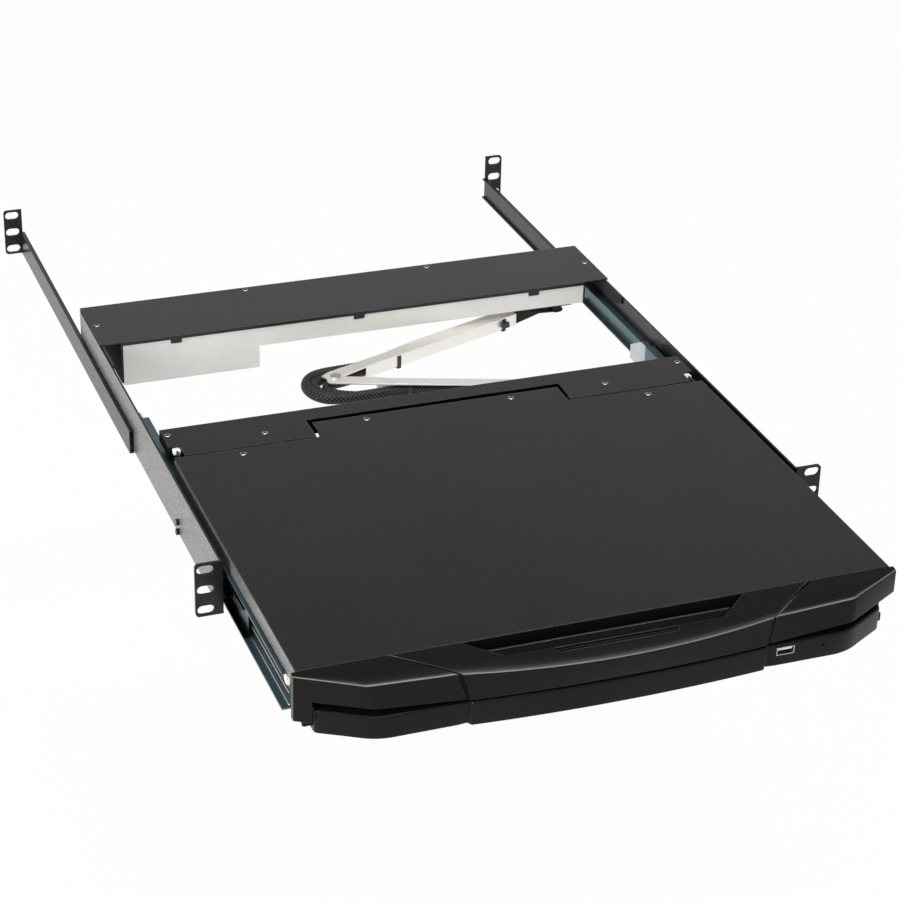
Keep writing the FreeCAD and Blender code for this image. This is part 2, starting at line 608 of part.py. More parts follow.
def key_layout():
    """Every key as (name, x, y, width in pitches), numbered from the left of each row."""
    gap = 0.25
    nav = 15 + gap
    pad = nav + 3 + gap
    rows = [
        (0, [1.25, 1.25, 1.25, 6.25, 1.25, 1.25, 1.25, 1.25], [(nav, 1), (nav + 1, 1), (nav + 2, 1)],
         [(pad, 2), (pad + 2, 1), (pad + 3, 1)]),
        (1, [2.25] + [1] * 10 + [2.75], [(nav + 1, 1)], [(pad + i, 1) for i in range(4)]),
        (2, [1.75] + [1] * 11 + [2.25], [], [(pad + i, 1) for i in range(4)]),
        (3, [1.5] + [1] * 12 + [1.5], [(nav + i, 1) for i in range(3)], [(pad + i, 1) for i in range(4)]),
        (4, [1] * 13 + [2], [(nav + i, 1) for i in range(3)], [(pad + i, 1) for i in range(4)]),
        (5, [1] * 15, [(nav + i, 1) for i in range(3)], [(pad + i, 1) for i in range(4)]),
    ]
    total = pad + 4
    keys = []
    for row, main, *blocks in rows:
        start = 0.0
        cells = []
        for width in main:
            cells.append((start, width))
            start += width
        for block in blocks:
            cells.extend(block)
        y = KEY_FRONT_ROW_Y + row * KEY_PITCH
        for number, (left, width) in enumerate(cells):
            x = (left + width / 2 - total / 2) * KEY_PITCH
            keys.append(("r%d_%d" % (row, number), x, y, width))
    return keys


def key_openings():
    """The deck's openings for the three blocks of keys: (x0, x1, y0, y1)."""
    total = KEYS_ACROSS
    y0 = KEY_FRONT_ROW_Y - KEY_PITCH / 2 - KEY_CLEARANCE
    y1 = KEY_FRONT_ROW_Y + 5.5 * KEY_PITCH + KEY_CLEARANCE
    spans = ((0, 15), (15.25, 18.25), (18.5, total))
    edge = (KEY_PITCH - KEY_CAP) / 2 - KEY_CLEARANCE
    return [((a - total / 2) * KEY_PITCH + edge, (b - total / 2) * KEY_PITCH - edge, y0, y1) for a, b in spans]


def keycap(x, y, width, stem_foot):
    """One keycap: a tapered block on a square stem that reaches stem_foot."""
    w0 = width * KEY_PITCH - (KEY_PITCH - KEY_CAP)
    w1 = w0 - (KEY_CAP - KEY_CAP_TOP)
    d0 = KEY_CAP
    d1 = KEY_CAP_TOP

    def ring(w, d, z):
        corners = ((-w, -d), (w, -d), (w, d), (-w, d))
        points = [Vector(x + a / 2, y + b / 2, z) for a, b in corners]
        return Part.makePolygon(points + points[:1])

    cap = Part.makeLoft([ring(w0, d0, KEY_BOTTOM), ring(w1, d1, KEY_TOP)], True, True)
    stem = box(x - KEY_STEM / 2, x + KEY_STEM / 2, y - KEY_STEM / 2, y + KEY_STEM / 2, stem_foot, KEY_BOTTOM)
    return cap.fuse(stem).removeSplitter()


def moving_keys():
    """The keys that are bodies of their own: node name to the key's place in the layout."""
    return {"key_space": "r0_3", "key_enter": "r2_12"}


def keys_fixed():
    """All other keycaps, standing on the key plate."""
    moving = set(moving_keys().values())
    return [keycap(x, y, w, KEY_PLATE_TOP) for name, x, y, w in key_layout() if name not in moving]


def key_named(place):
    """A moving keycap, its stem passing into the key plate."""
    for name, x, y, w in key_layout():
        if name == place:
            return keycap(x, y, w, KEY_PLATE_TOP - KEY_PLATE_SHEET / 2)
    raise ValueError(place)


def key_plate():
    """The plate under the keys, hung from the deck by a rim, with holes for the moving stems."""
    blocks = key_openings()
    x0 = blocks[0][0] - 2
    x1 = blocks[-1][1] + 2
    y0 = blocks[0][2] - 2
    y1 = blocks[0][3] + 2
    tray = box(x0 - 1.5, x1 + 1.5, y0 - 1.5, y1 + 1.5, KEY_PLATE_TOP - KEY_PLATE_SHEET, DECK_UNDER)
    plate = tray.cut(box(x0, x1, y0, y1, KEY_PLATE_TOP, DECK_UNDER + 1))
    half = KEY_STEM / 2 + KEY_CLEARANCE
    moving = set(moving_keys().values())
    holes = [box(x - half, x + half, y - half, y + half, KEY_PLATE_TOP - 3, KEY_PLATE_TOP + 1)
             for name, x, y, w in key_layout() if name in moving]
    return plate.cut(holes)


def touchpad():
    """The touchpad plate with its shallow tray below, which also carries the two buttons."""
    w, d = TOUCHPAD_SIZE
    y1 = TOUCHPAD_MID_Y + d / 2
    y0 = TOUCHPAD_MID_Y - d / 2
    pad = box(-w / 2, w / 2, y0, y1, DECK_UNDER - 2.4, DECK_TOP - 0.4)
    button_front = touch_button_y() - TOUCH_BUTTON_DEPTH / 2
    shelf = box(-w / 2 - 4, w / 2 + 4, button_front - 2, y1 + 4, DECK_UNDER - 3.6, DECK_UNDER - 2.4)
    rim_outer = box(-w / 2 - 4, w / 2 + 4, button_front - 2, y1 + 4, DECK_UNDER - 2.4, DECK_UNDER)
    rim_inner = box(-w / 2 - 1, w / 2 + 1, button_front - 0.8, y1 + 1, DECK_UNDER - 3, DECK_UNDER + 1)
    return joined([pad, shelf, rim_outer.cut(rim_inner)])


def touch_button(side):
    """One touchpad button, side -1 for the left and 1 for the right."""
    w = TOUCHPAD_SIZE[0]
    y = touch_button_y()
    d = TOUCH_BUTTON_DEPTH / 2
    return box(side * 0.3, side * w / 2, y - d, y + d, DECK_UNDER - 2.4 + TOUCH_TRAVEL + 0.1, DECK_TOP)


# ================================================================ bezels
def wing_outline(z, inset=0.0):
    """Plan of the upper bezel's wings at height z; the front face leans forward going down."""
    ax, ay, az = WING_APEX
    fx, fy = WING_APEX_FOOT
    share = (az - z) / (az - WING_BOTTOM)
    x = ax + (fx - ax) * share - inset * 0.7
    y = ay + (fy - ay) * share + inset
    mid = y - 5.0
    half = BEZEL_HALF - inset
    side = WING_CORNER_Y + inset
    right = [(100.0, mid), (x, y), (half, side), (half, TRAY_FRONT)]
    return [(-a, b) for a, b in reversed(right)] + right


def centre_ring(z, inset=0.0):
    """Plan wire of the upper bezel's middle at height z, with a bowed front."""
    tx, ty, tm, tz = CENTRE_TOP
    fx, fy, fm = CENTRE_FOOT
    share = (tz - z) / (tz - CENTRE_BOTTOM)
    x = tx + (fx - tx) * share - inset
    y = ty + (fy - ty) * share + inset
    mid = tm + (fm - tm) * share + inset
    return bowed_ring(CENTRE_REAR_X - inset, x, y, mid, z)


def bowed_ring(rear_x, x, y, mid, z):
    """A closed wire: straight back at the tray's front, slanted sides, bowed front."""
    a, b = Vector(-rear_x, TRAY_FRONT, z), Vector(-x, y, z)
    c, d = Vector(x, y, z), Vector(rear_x, TRAY_FRONT, z)
    front = Part.Arc(b, Vector(0, mid, z), c).toShape()
    sides = [Part.LineSegment(a, b).toShape(), front, Part.LineSegment(c, d).toShape(),
             Part.LineSegment(d, a).toShape()]
    return Part.Wire(sides)


def ring(outline, z):
    """A closed wire through plan points at height z."""
    points = [Vector(x, y, z) for x, y in outline]
    return Part.makePolygon(points + points[:1])


def above_slope(top, slope):
    """Everything over a plane that falls forward from the bezel's rear edge."""
    reach = 60.0
    return prism_x([(TRAY_FRONT + 1, top + slope), (TRAY_FRONT - reach, top - slope * reach),
                    (TRAY_FRONT - reach, 80), (TRAY_FRONT + 1, 80)], -BEZEL_WIDTH, BEZEL_WIDTH)


def upper_bezel():
    """The lid's moulded bezel: two wings and a proud, bowed middle with the handle recess."""
    wing_top = UNIT_TOP - WING_STEP
    wings = Part.makeLoft([ring(wing_outline(WING_BOTTOM), WING_BOTTOM), ring(wing_outline(UNIT_TOP), UNIT_TOP)],
                          True, True).cut(above_slope(wing_top, WING_TOP_SLOPE))
    middle = Part.makeLoft([centre_ring(CENTRE_BOTTOM), centre_ring(UNIT_TOP)], True, True)
    foot = box(CENTRE_FOOT[0], BEZEL_HALF, -200, TRAY_FRONT + 1, CENTRE_BOTTOM - 1, WING_BOTTOM)
    middle = middle.cut([above_slope(UNIT_TOP, CENTRE_TOP_SLOPE)] + both_sides(foot))
    outer = wings.fuse(middle)

    w = BEZEL_WALL
    hollow_wings = prism_z([(x, y + 0.0) for x, y in wing_outline(UNIT_TOP, w)], WING_BOTTOM + w, UNIT_TOP)
    hollow_wings = hollow_wings.cut(above_slope(wing_top - w, WING_TOP_SLOPE))
    hollow_middle = box(-104, 104, -177, TRAY_FRONT, CENTRE_BOTTOM + w, UNIT_TOP)
    hollow_middle = hollow_middle.cut(above_slope(UNIT_TOP - w - WING_STEP, CENTRE_TOP_SLOPE))
    shell = outer.cut([hollow_wings, hollow_middle])

    tub = prism_z(recess_outline(RECESS_WALL), RECESS_FLOOR - RECESS_WALL, UNIT_TOP)
    tub = tub.cut(above_slope(UNIT_TOP, CENTRE_TOP_SLOPE))
    pocket = prism_z(recess_outline(0.0), RECESS_FLOOR, UNIT_TOP + 1)
    mid_y = (GROOVE_YS[0] + GROOVE_YS[1]) / 2
    groove_top = UNIT_TOP + CENTRE_TOP_SLOPE * (mid_y - TRAY_FRONT)
    groove = box(-GROOVE_HALF, GROOVE_HALF, GROOVE_YS[0], GROOVE_YS[1], groove_top - GROOVE_DEPTH, UNIT_TOP)

    skirt = prism_z(skirt_outline(0.0), SKIRT_BOTTOM, WING_BOTTOM + w)
    skirt = skirt.cut(prism_z(skirt_outline(BEZEL_WALL), SKIRT_BOTTOM - 1, WING_BOTTOM))
    return joined([shell, tub, skirt]).cut([pocket, groove])


def recess_outline(wall):
    """Plan of the handle recess, grown by wall on the front and sides."""
    (rx, ry), (fx, fy) = RECESS_REAR, RECESS_FRONT
    rear = ry if wall == 0 else TRAY_FRONT
    right = [(fx + wall, fy - wall), (rx + wall, rear)]
    return [(-x, y) for x, y in reversed(right)] + right


def skirt_outline(wall):
    """Plan of the small skirt that hangs from the bezel's left end."""
    half = BEZEL_HALF - wall
    inner = BEZEL_HALF - SKIRT_WIDTH - (1 if wall else 0)
    rear = TRAY_FRONT + (1 if wall else 0)
    return [(-half, rear), (-half, WING_CORNER_Y + wall * 0.8), (-inner, WING_CORNER_Y - 5.0 + wall * 0.8),
            (-inner, rear)]


def latch_lever():
    """The release lever in the recess: a sloped cap with slanted ends, hollow from the rear."""
    top = UNIT_TOP + CENTRE_TOP_SLOPE * (LATCH_REAR - TRAY_FRONT) - 0.3
    low = RECESS_FLOOR + 0.3
    section = prism_x([(LATCH_REAR, low), (LATCH_REAR, top), (LATCH_REAR - 1.2, top), (LATCH_FRONT, low + 3.0),
                       (LATCH_FRONT, low)], -BEZEL_HALF, BEZEL_HALF)
    plan = [(LATCH_HALF[1], LATCH_FRONT), (LATCH_HALF[0], LATCH_REAR)]
    body = section.common(prism_z([(-x, y) for x, y in reversed(plan)] + plan, low, top))
    hollow = prism_x([(LATCH_REAR + 1, low + 1.5), (LATCH_REAR + 1, top - 1.6), (LATCH_REAR - 1.2, top - 1.6),
                      (LATCH_FRONT + 1.6, low + 1.5)], -LATCH_HALF[1] + 2, LATCH_HALF[1] - 2)
    return body.cut(hollow)


def lower_outline(z, inset=0.0):
    """Plan of the drawer bezel's wings at height z."""
    fx, fy = LOWER_APEX_FOOT
    top_x = WING_APEX_FOOT[0]
    share = (z - LOWER_BOTTOM) / (WING_BOTTOM - LOWER_BOTTOM)
    x = fx + (top_x - fx) * share - inset * 0.7
    half = LOWER_HALF - inset
    right = [(x, fy + inset), (half, LOWER_CORNER_Y + inset), (half, TRAY_FRONT)]
    return [(-a, b) for a, b in reversed(right)] + right


def lower_bezel():
    """The drawer's moulded bezel below the upper one, with the USB port's opening and a pinhole."""
    w = BEZEL_WALL
    wing_top = WING_BOTTOM - BEZEL_GAP
    centre_top = CENTRE_BOTTOM - BEZEL_GAP
    wings = Part.makeLoft([ring(lower_outline(LOWER_BOTTOM), LOWER_BOTTOM), ring(lower_outline(wing_top), wing_top)],
                          True, True)
    fx, fy, fm = CENTRE_FOOT
    middle = Part.makeLoft([bowed_ring(fx - 2.0, fx - 2.0, fy + 1.2, fy + 0.8, LOWER_BOTTOM),
                            bowed_ring(fx - 0.5, fx - 0.5, fy, fm, centre_top)], True, True)
    clear = fx + BEZEL_GAP
    over_middle = box(-clear, clear, -200, TRAY_FRONT + 0.1, centre_top, wing_top + 1)
    outer = wings.cut(over_middle).fuse(middle)
    hollow = prism_z(lower_outline(LOWER_BOTTOM, w), LOWER_BOTTOM + w, centre_top - w)
    x, z = USB_CENTRE
    width, height = USB_OUTER
    opening = box(x - width / 2, x + width / 2, -200, TRAY_FRONT + 1, z - height / 2, z + height / 2)
    pinhole = rod((RESET_CENTRE[0], -200, RESET_CENTRE[1]), (0, 1, 0), RESET_R, 45)
    block = box(LOWER_HALF - 0.5, LOWER_HALF + 6.0, TRAY_FRONT - 1.5, TRAY_FRONT, -20.0, -13.0)
    return joined([outer.cut([hollow, opening, pinhole])] + both_sides(block))


def usb_port():
    """The USB receptacle: a folded shell with its tongue."""
    x, z = USB_CENTRE
    width, height = USB_OUTER[0] / 2, USB_OUTER[1] / 2
    front = LOWER_APEX_FOOT[1] - 0.6
    t = USB_SHEET
    shell = box(x - width, x + width, front, front + USB_DEPTH, z - height, z + height)
    mouth = box(x - width + t, x + width - t, front - 1, front + USB_DEPTH - t, z - height + t, z + height - t)
    tongue = box(x - width + 1.2, x + width - 1.2, front + 1.2, front + USB_DEPTH - t, z + 0.2, z + 1.8)
    return joined([shell.cut(mouth), tongue])


# ================================================================ lid
def lid_shell():
    """The lid's folded cover: plate with hinge tongue, side walls, front and rear walls."""
    t = COVER_SHEET
    right = [(LID_HALF, TRAY_FRONT), (LID_HALF, LID_REAR), (TONGUE_HALF, LID_REAR), (TONGUE_HALF, TONGUE_REAR)]
    plate = prism_z(right + [(-x, y) for x, y in reversed(right)], COVER_UNDER, UNIT_TOP)
    side = box(LID_HALF - t, LID_HALF, TRAY_FRONT, LID_REAR, LID_BOTTOM, COVER_UNDER)
    rear = box(TONGUE_HALF, LID_HALF, LID_REAR - t, LID_REAR, LID_BOTTOM, COVER_UNDER)
    front = box(-LID_HALF, LID_HALF, TRAY_FRONT, TRAY_FRONT + t, LID_BOTTOM, COVER_UNDER)
    shell = joined([plate, front] + both_sides(side) + both_sides(rear))
    return shell.cut(screw_holes(lid_screw_places(), UNIT_TOP))


def lid_screw_places():
    """Four lid screws: two into the frame's posts, two into the hinge leaves."""
    return [(s * x, y) for s in (-1, 1) for x, y in ((163.8, 144.5), (59.0, 170.5))]


def lcd_frame():
    """The bezel round the picture, with button holes at its hinge side and screw posts."""
    half = LID_HALF - COVER_SHEET - 0.1
    y0 = TRAY_FRONT + COVER_SHEET + 0.1
    y1 = LID_REAR - COVER_SHEET - 0.1
    plate = box(-half, half, y0, y1, LID_BOTTOM, PANEL_BOTTOM)
    w, d = PICTURE_SIZE
    window = box(-w / 2, w / 2, picture_mid_y() - d / 2, picture_mid_y() + d / 2, LID_BOTTOM - 1, PANEL_BOTTOM + 1)
    holes = [rod((x, osd_y(), LID_BOTTOM - 1), (0, 0, 1), 2.6, 4) for x in osd_xs()]
    posts = [rod((s * 163.8, 144.5, PANEL_BOTTOM - 0.1), (0, 0, 1), 3.2, COVER_UNDER - PANEL_BOTTOM + 0.1)
             for s in (-1, 1)]
    posts += [box(s * (half - 8), s * half, y, y + 8, PANEL_BOTTOM - 0.1, COVER_UNDER)
              for s in (-1, 1) for y in (y0, -4)]
    return joined([plate] + posts).cut([window] + holes + screw_holes(lid_screw_places(), UNIT_TOP))


def picture_mid_y():
    """The middle of the picture, which sits towards the bezel."""
    return TRAY_FRONT + COVER_SHEET + 2.0 + PANEL_SIZE[1] / 2


def lcd_panel():
    """The LCD module behind the frame."""
    w, d = PANEL_SIZE
    mid = picture_mid_y()
    return box(-w / 2, w / 2, mid - d / 2, mid + d / 2, PANEL_BOTTOM, PANEL_BOTTOM + PANEL_THICK)


def osd_y():
    """The row of picture controls lies between the picture and the hinge."""
    return (picture_mid_y() + PICTURE_SIZE[1] / 2 + LID_REAR) / 2


def osd_xs():
    """The places of the picture controls."""
    return [(i - (OSD_BUTTONS - 1) / 2) * OSD_PITCH for i in range(OSD_BUTTONS)]


def osd_button(x):
    """One picture control: a cap through the frame, with a flange behind it."""
    cap = rod((x, osd_y(), LID_BOTTOM - 0.4), (0, 0, 1), 2.4, PANEL_BOTTOM - LID_BOTTOM + 0.5)
    flange = rod((x, osd_y(), PANEL_BOTTOM + 0.1), (0, 0, 1), 3.4, 1.0)
    return cap.fuse(flange).removeSplitter()


def hinge_brackets():
    """The tray's two hinge brackets: a foot on the floor, an upright web and a knuckle."""
    half = HINGE_TRAY_KNUCKLE / 2
    web = prism_x([
        (HINGE_Y - 9.5, TRAY_FLOOR), (HINGE_Y - 7.8, TRAY_FLOOR), (HINGE_Y - 7.8, HINGE_Z - 6.0),
        (HINGE_Y - 0.5, HINGE_Z - 3.0), (HINGE_Y - 2.7, HINGE_Z + 0.8), (HINGE_Y - 9.5, HINGE_Z - 3.5),
    ], HINGE_X - half, HINGE_X + half)
    foot = box(HINGE_X - 22, HINGE_X + 22, DECK_REAR, HINGE_Y - 7.8, TRAY_FLOOR, TRAY_FLOOR + 1.5)
    knuckle = rod((HINGE_X - half, HINGE_Y, HINGE_Z), (1, 0, 0), HINGE_KNUCKLE_R, 2 * half)
    bore = rod((HINGE_X - half - 1, HINGE_Y, HINGE_Z), (1, 0, 0), HINGE_PIN_R + HINGE_CLEARANCE, 2 * half + 2)
    return both_sides(joined([web, foot, knuckle]).cut(bore))


def hinge_leaves():
    """The lid's two hinge leaves: a plate under the tongue with two knuckles."""
    half = HINGE_LEAF_WIDTH / 2
    front, rear = HINGE_LEAF_YS
    plate = box(HINGE_X - half, HINGE_X + half, HINGE_Y + front, HINGE_Y + rear, COVER_UNDER - 1.2, COVER_UNDER)
    shapes = [plate]
    start = HINGE_TRAY_KNUCKLE / 2 + 1.5
    for x0 in (HINGE_X - start - HINGE_LID_KNUCKLE, HINGE_X + start):
        shapes.append(rod((x0, HINGE_Y, HINGE_Z), (1, 0, 0), HINGE_KNUCKLE_R, HINGE_LID_KNUCKLE))
        shapes.append(box(x0, x0 + HINGE_LID_KNUCKLE, HINGE_Y - 2, HINGE_Y + 2, HINGE_Z, COVER_UNDER - 0.6))
    leaf = joined(shapes)
    bore = rod((0, HINGE_Y, HINGE_Z), (1, 0, 0), HINGE_PIN_R, 2 * HINGE_X)
    screw = screw_holes([(59.0, 170.5)], UNIT_TOP)
    return both_sides(leaf.cut([bore] + screw))


def hinge_pins():
    """The two hinge pins, fast in the lid's knuckles."""
    reach = HINGE_TRAY_KNUCKLE / 2 + 1.5 + HINGE_LID_KNUCKLE
    return both_sides(rod((HINGE_X - reach, HINGE_Y, HINGE_Z), (1, 0, 0), HINGE_PIN_R, 2 * reach))


# ================================================================ cable arm
def link_angle(side):
    """A link's turn from +X, in degrees; side 1 rear, -1 front."""
    return ARM_ANGLE + REAR_LINK_SKEW if side > 0 else -ARM_ANGLE


def placed(shape, side):
    """A link drawn along +X from the elbow, outer side towards +Y, turned to its place."""
    if side < 0:
        shape = shape.mirror(Vector(0, 0, 0), Vector(0, 1, 0))
    shape = shape.copy()
    shape.rotate(Vector(0, 0, 0), Vector(0, 0, 1), link_angle(side))
    shape.translate(Vector(ARM_ELBOW[0], ARM_ELBOW[1], 0))
    return shape


def link_body(outline, ys, x1, top, ties):
    """A link: its top plate with the elbow's eye, and the upright wall along its inner edge."""
    t = ARM_SHEET
    plate = prism_z(outline, top - t, top)
    eye = rod((0, 0, top - t), (0, 0, 1), ARM_EYE_R, t)
    wall = box(ARM_WALL_START, x1, ys[0], ys[0] + t, ARM_BOTTOM, top - t)
    z1 = CABLE_Z + CABLE_R + TIE_SHEET + 0.3
    half = TIE_WIDTH / 2 + 0.5
    slots = [box(x - half, x + half, ys[0] - 1, ys[0] + t + 1, z1 - TIE_SHEET - 0.6, z1) for x, _ in ties]
    return joined([plate, eye, wall]).cut(slots)


def eye_hole(x, y, clearance):
    """A cutter for a pivot hole, x along a link and y out from its line."""
    return rod((x, y, -30), (0, 0, 1), ARM_PIN_R + clearance, 60)


def rear_pivot():
    """The housing's pivot in the rear link's own directions."""
    skew = math.radians(REAR_LINK_SKEW)
    return ARM_LINK * math.cos(skew), -ARM_LINK * math.sin(skew)


def arm_rear_link():
    """The link between the elbow and the housing's anchor, with a long tongue at the elbow."""
    y0, y1 = REAR_LINK_YS
    x1 = REAR_LINK_END
    tip = REAR_TONGUE_Y
    outline = [(ARM_WALL_START, y0), (x1, y0), (x1, y1), (88, y1), (62, tip), (1, tip),
               (-6.6, tip - 2.5), (-6, 0), (6, -0.6)]
    link = link_body(outline, REAR_LINK_YS, x1, REAR_LINK_TOP, REAR_TIES)
    return placed(link.cut(eye_hole(0, 0, 0)), 1)


def arm_end_bracket():
    """The black bracket from the rear link's end to the housing's pivot, with a tapering web."""
    z1 = REAR_LINK_TOP - ARM_SHEET
    z0 = z1 - ARM_SHEET
    x1 = REAR_LINK_END
    y0 = REAR_LINK_YS[0] + ARM_SHEET
    px, py = rear_pivot()
    plate = prism_z([(x1 - 11, y0), (x1 + 2, y0), (px - 5, py - 3.3), (px + 1, py + 5.9),
                     (x1 + 6, y0 + 5), (x1 - 11, y0 + 5)], z0, z1)
    eye = rod((px, py, z0), (0, 0, 1), ARM_EYE_R, ARM_SHEET)
    xe = x1 + 26
    ye = y0 - 7.3
    web = prism_z([(x1 - 11, y0), (x1 + 2, y0), (xe, ye), (xe + 0.4, ye + 1.1), (x1 + 2.3, y0 + ARM_SHEET),
                   (x1 - 11, y0 + ARM_SHEET)], ARM_BOTTOM + 0.2, z1)
    taper = prism_y([(x1 + 1, ARM_BOTTOM - 1), (x1 + 1, ARM_BOTTOM + 0.2), (xe + 2, z0), (xe + 2, ARM_BOTTOM - 1)],
                    -30, 30)
    bracket = joined([plate, eye, web.cut(taper)])
    return placed(bracket.cut(eye_hole(px, py, ARM_PIN_CLEARANCE)), 1)


def arm_front_link():
    """The link between the elbow and the tray's slotted anchor, with a tongue at its lower edge."""
    y0, y1 = FRONT_LINK_YS
    x1 = FRONT_LINK_END
    outline = [(0, -0.4), (33, 0.2), (42, y0), (x1, y0), (x1, y1), (-1.2, y1), (-5.3, y1 - 1.7),
               (-7.0, y1 - 5.8), (-6, 0)]
    corner = rod((-1.2, y1 - 5.8, ARM_TOP - ARM_SHEET), (0, 0, 1), 5.8, ARM_SHEET)
    tongue = prism_z([(x1 - 20, y0), (x1, y0), (ARM_LINK - 4, -4.5), (ARM_LINK + 5, 3),
                      (x1, y1), (x1 - 20, y1)], ARM_BOTTOM, tongue_top())
    eye = rod((ARM_LINK, 0, ARM_BOTTOM), (0, 0, 1), ARM_EYE_R, ARM_SHEET)
    link = joined([link_body(outline, FRONT_LINK_YS, x1, ARM_TOP, FRONT_TIES), corner, tongue, eye])
    return placed(link.cut([eye_hole(0, 0, ARM_PIN_CLEARANCE), eye_hole(ARM_LINK, 0, 0)]), -1)


def tongue_top():
    """The upper face of the front link's end tongue."""
    return ARM_BOTTOM + ARM_SHEET


def elbow_rivet():
    """The elbow's rivet, fast in the rear link, with its head over the front link."""
    x, y = ARM_ELBOW
    foot = REAR_LINK_TOP - ARM_SHEET
    head_z = ARM_TOP + 0.1
    shank = rod((x, y, foot - 1), (0, 0, 1), ARM_PIN_R, head_z - foot + 1.5)
    head = rod((x, y, head_z), (0, 0, 1), 4.4, 0.9)
    tail = rod((x, y, foot - 1), (0, 0, 1), 3.6, 1.0)
    return joined([shank, head, tail])


def tray_pin():
    """The pin at the front link's end, which runs in the tray anchor's slot."""
    x, y = ARM_PIVOT[0], ARM_TRAY_PIVOT_Y
    head_z = anchor_z()[0] - 1.3
    top = tongue_top()
    shank = rod((x, y, head_z), (0, 0, 1), ARM_PIN_R, top - head_z + 0.8)
    cap = rod((x, y, top), (0, 0, 1), 3.6, 0.8)
    collar = rod((x, y, anchor_z()[1] + 0.3), (0, 0, 1), 3.6, ARM_BOTTOM - anchor_z()[1] - 0.3)
    head = rod((x, y, head_z), (0, 0, 1), 4.0, 1.0)
    return joined([shank, cap, head, collar])


def anchor_z():
    """The tray anchor's lower and upper faces, below the links and their cable."""
    return ARM_BOTTOM - 3.6, ARM_BOTTOM - 2.4


def tray_anchor():
    """The tray's slotted arm anchor: a tongue behind the tray, bent up from a foot on its floor."""
    z0, z1 = anchor_z()
    x = ARM_PIVOT[0]
    y1 = ARM_TRAY_PIVOT_Y + ARM_SLOT_REACH + 6
    tongue = box(x - 9, x + 9, TRAY_REAR - 25, y1, z0, z1)
    riser = box(x - 9, x + 9, TRAY_REAR - 25, TRAY_REAR - 23.8, TRAY_FLOOR, z1)
    foot = box(x - 9, x + 9, TRAY_REAR - 40, TRAY_REAR - 23.8, TRAY_FLOOR, TRAY_FLOOR + 1.2)
    half = ARM_PIN_R + 0.5
    front = ARM_TRAY_PIVOT_Y - ARM_SLOT_LEAD
    slot = box(x - half, x + half, front, ARM_TRAY_PIVOT_Y + ARM_SLOT_REACH, z0 - 1, z1 + 1)
    end = rod((x, front, z0 - 1), (0, 0, 1), half, 4)
    return joined([tongue, riser, foot]).cut([slot, end])


def arm_anchor():
    """The pivot under the housing that the rear link hangs from."""
    x, y = ARM_PIVOT
    z1 = BOX_SHALLOW_BOTTOM
    plate = box(x - 12, x + 12, y - 5.5, y + 12, z1 - 1.5, z1)
    eye_top = REAR_LINK_TOP - ARM_SHEET
    under = eye_top - ARM_SHEET
    boss = rod((x, y, eye_top + 0.2), (0, 0, 1), 5.0, z1 - eye_top - 0.2)
    pin = rod((x, y, under - 1.4), (0, 0, 1), ARM_PIN_R, z1 - under + 1.4)
    tail = rod((x, y, under - 1.4), (0, 0, 1), 3.6, 1.1)
    return joined([plate, boss, pin, tail])


def tie(x, out, ys, side, head=False):
    """A cable tie round a link's wall and the cable, x along the link, out to the cable's centre."""
    y0 = ys[0] - 0.1
    y1 = out + CABLE_R + 0.15
    z0 = CABLE_Z - CABLE_R - 0.15
    z1 = CABLE_Z + CABLE_R + 0.15
    t = TIE_SHEET
    outer = box(x - TIE_WIDTH / 2, x + TIE_WIDTH / 2, y0 - t, y1 + t, z0 - t, z1 + t)
    band = outer.cut(box(x - TIE_WIDTH, x + TIE_WIDTH, y0, y1, z0, z1))
    if head:
        lock = box(x - 3.2, x + 3.2, y0 - t - 3.0, y0 - t + 0.2, CABLE_Z - 1.4, CABLE_Z + 3.0)
        band = joined([band, lock])
    return placed(band, side)


def rear_ties():
    """The rear link's two ties; the far one has its lock on the wall's face."""
    near, far = REAR_TIES
    return [tie(near[0], near[1], REAR_LINK_YS, 1), tie(far[0], far[1], REAR_LINK_YS, 1, True)]


# ================================================================ braided cable
RADII = []


def rounded_path(points):
    """A wire of straight runs joined by tangent arcs, each as large as its two runs allow."""
    points = [Vector(*p) for p in points]
    edges = []
    start = points[0]
    for before, corner, after in zip(points, points[1:], points[2:]):
        a = before - corner
        b = after - corner
        turn = math.pi - a.getAngle(b)
        reach = 0.45 * min(a.Length, b.Length)
        radius = reach / math.tan(turn / 2)
        first = corner + a.normalize() * reach
        last = corner + b.normalize() * reach
        middle_way = (a + b).normalize()
        centre = corner + middle_way * (radius / math.cos(turn / 2))
        middle = centre - middle_way * radius
        edges.append(Part.LineSegment(start, first).toShape())
        edges.append(Part.Arc(first, middle, last).toShape())
        RADII.append(round(radius, 1))
        start = last
    edges.append(Part.LineSegment(start, points[-1]).toShape())
    return Part.Wire(edges)


def swept(path, first, second, radius):
    """A round solid along a wire that starts at first towards second."""
    first = Vector(*first)
    section = Part.Wire(Part.makeCircle(radius, first, Vector(*second) - first))
    return path.makePipeShell([section], True, False)


def tube(points, radius):
    """A cable's solid along a route of hand-chosen points."""
    return swept(rounded_path(points), points[0], points[1], radius)


def on_link(x, y, side, z):
    """A point beside a link: x along it from the elbow, y out from its own line."""
    a = math.radians(link_angle(side))
    px = ARM_ELBOW[0] + x * math.cos(a) - side * y * math.sin(a)
    py = ARM_ELBOW[1] + x * math.sin(a) + side * y * math.cos(a)
    return px, py, z


def leaving(run):
    """Along and out from a link: the cable, run past where it leaves the circle round the elbow."""
    a = math.radians(CABLE_LEAVES)
    return CABLE_LOOP_R * math.sin(a) + run * math.cos(a), CABLE_LOOP_R * math.cos(a) - run * math.sin(a)


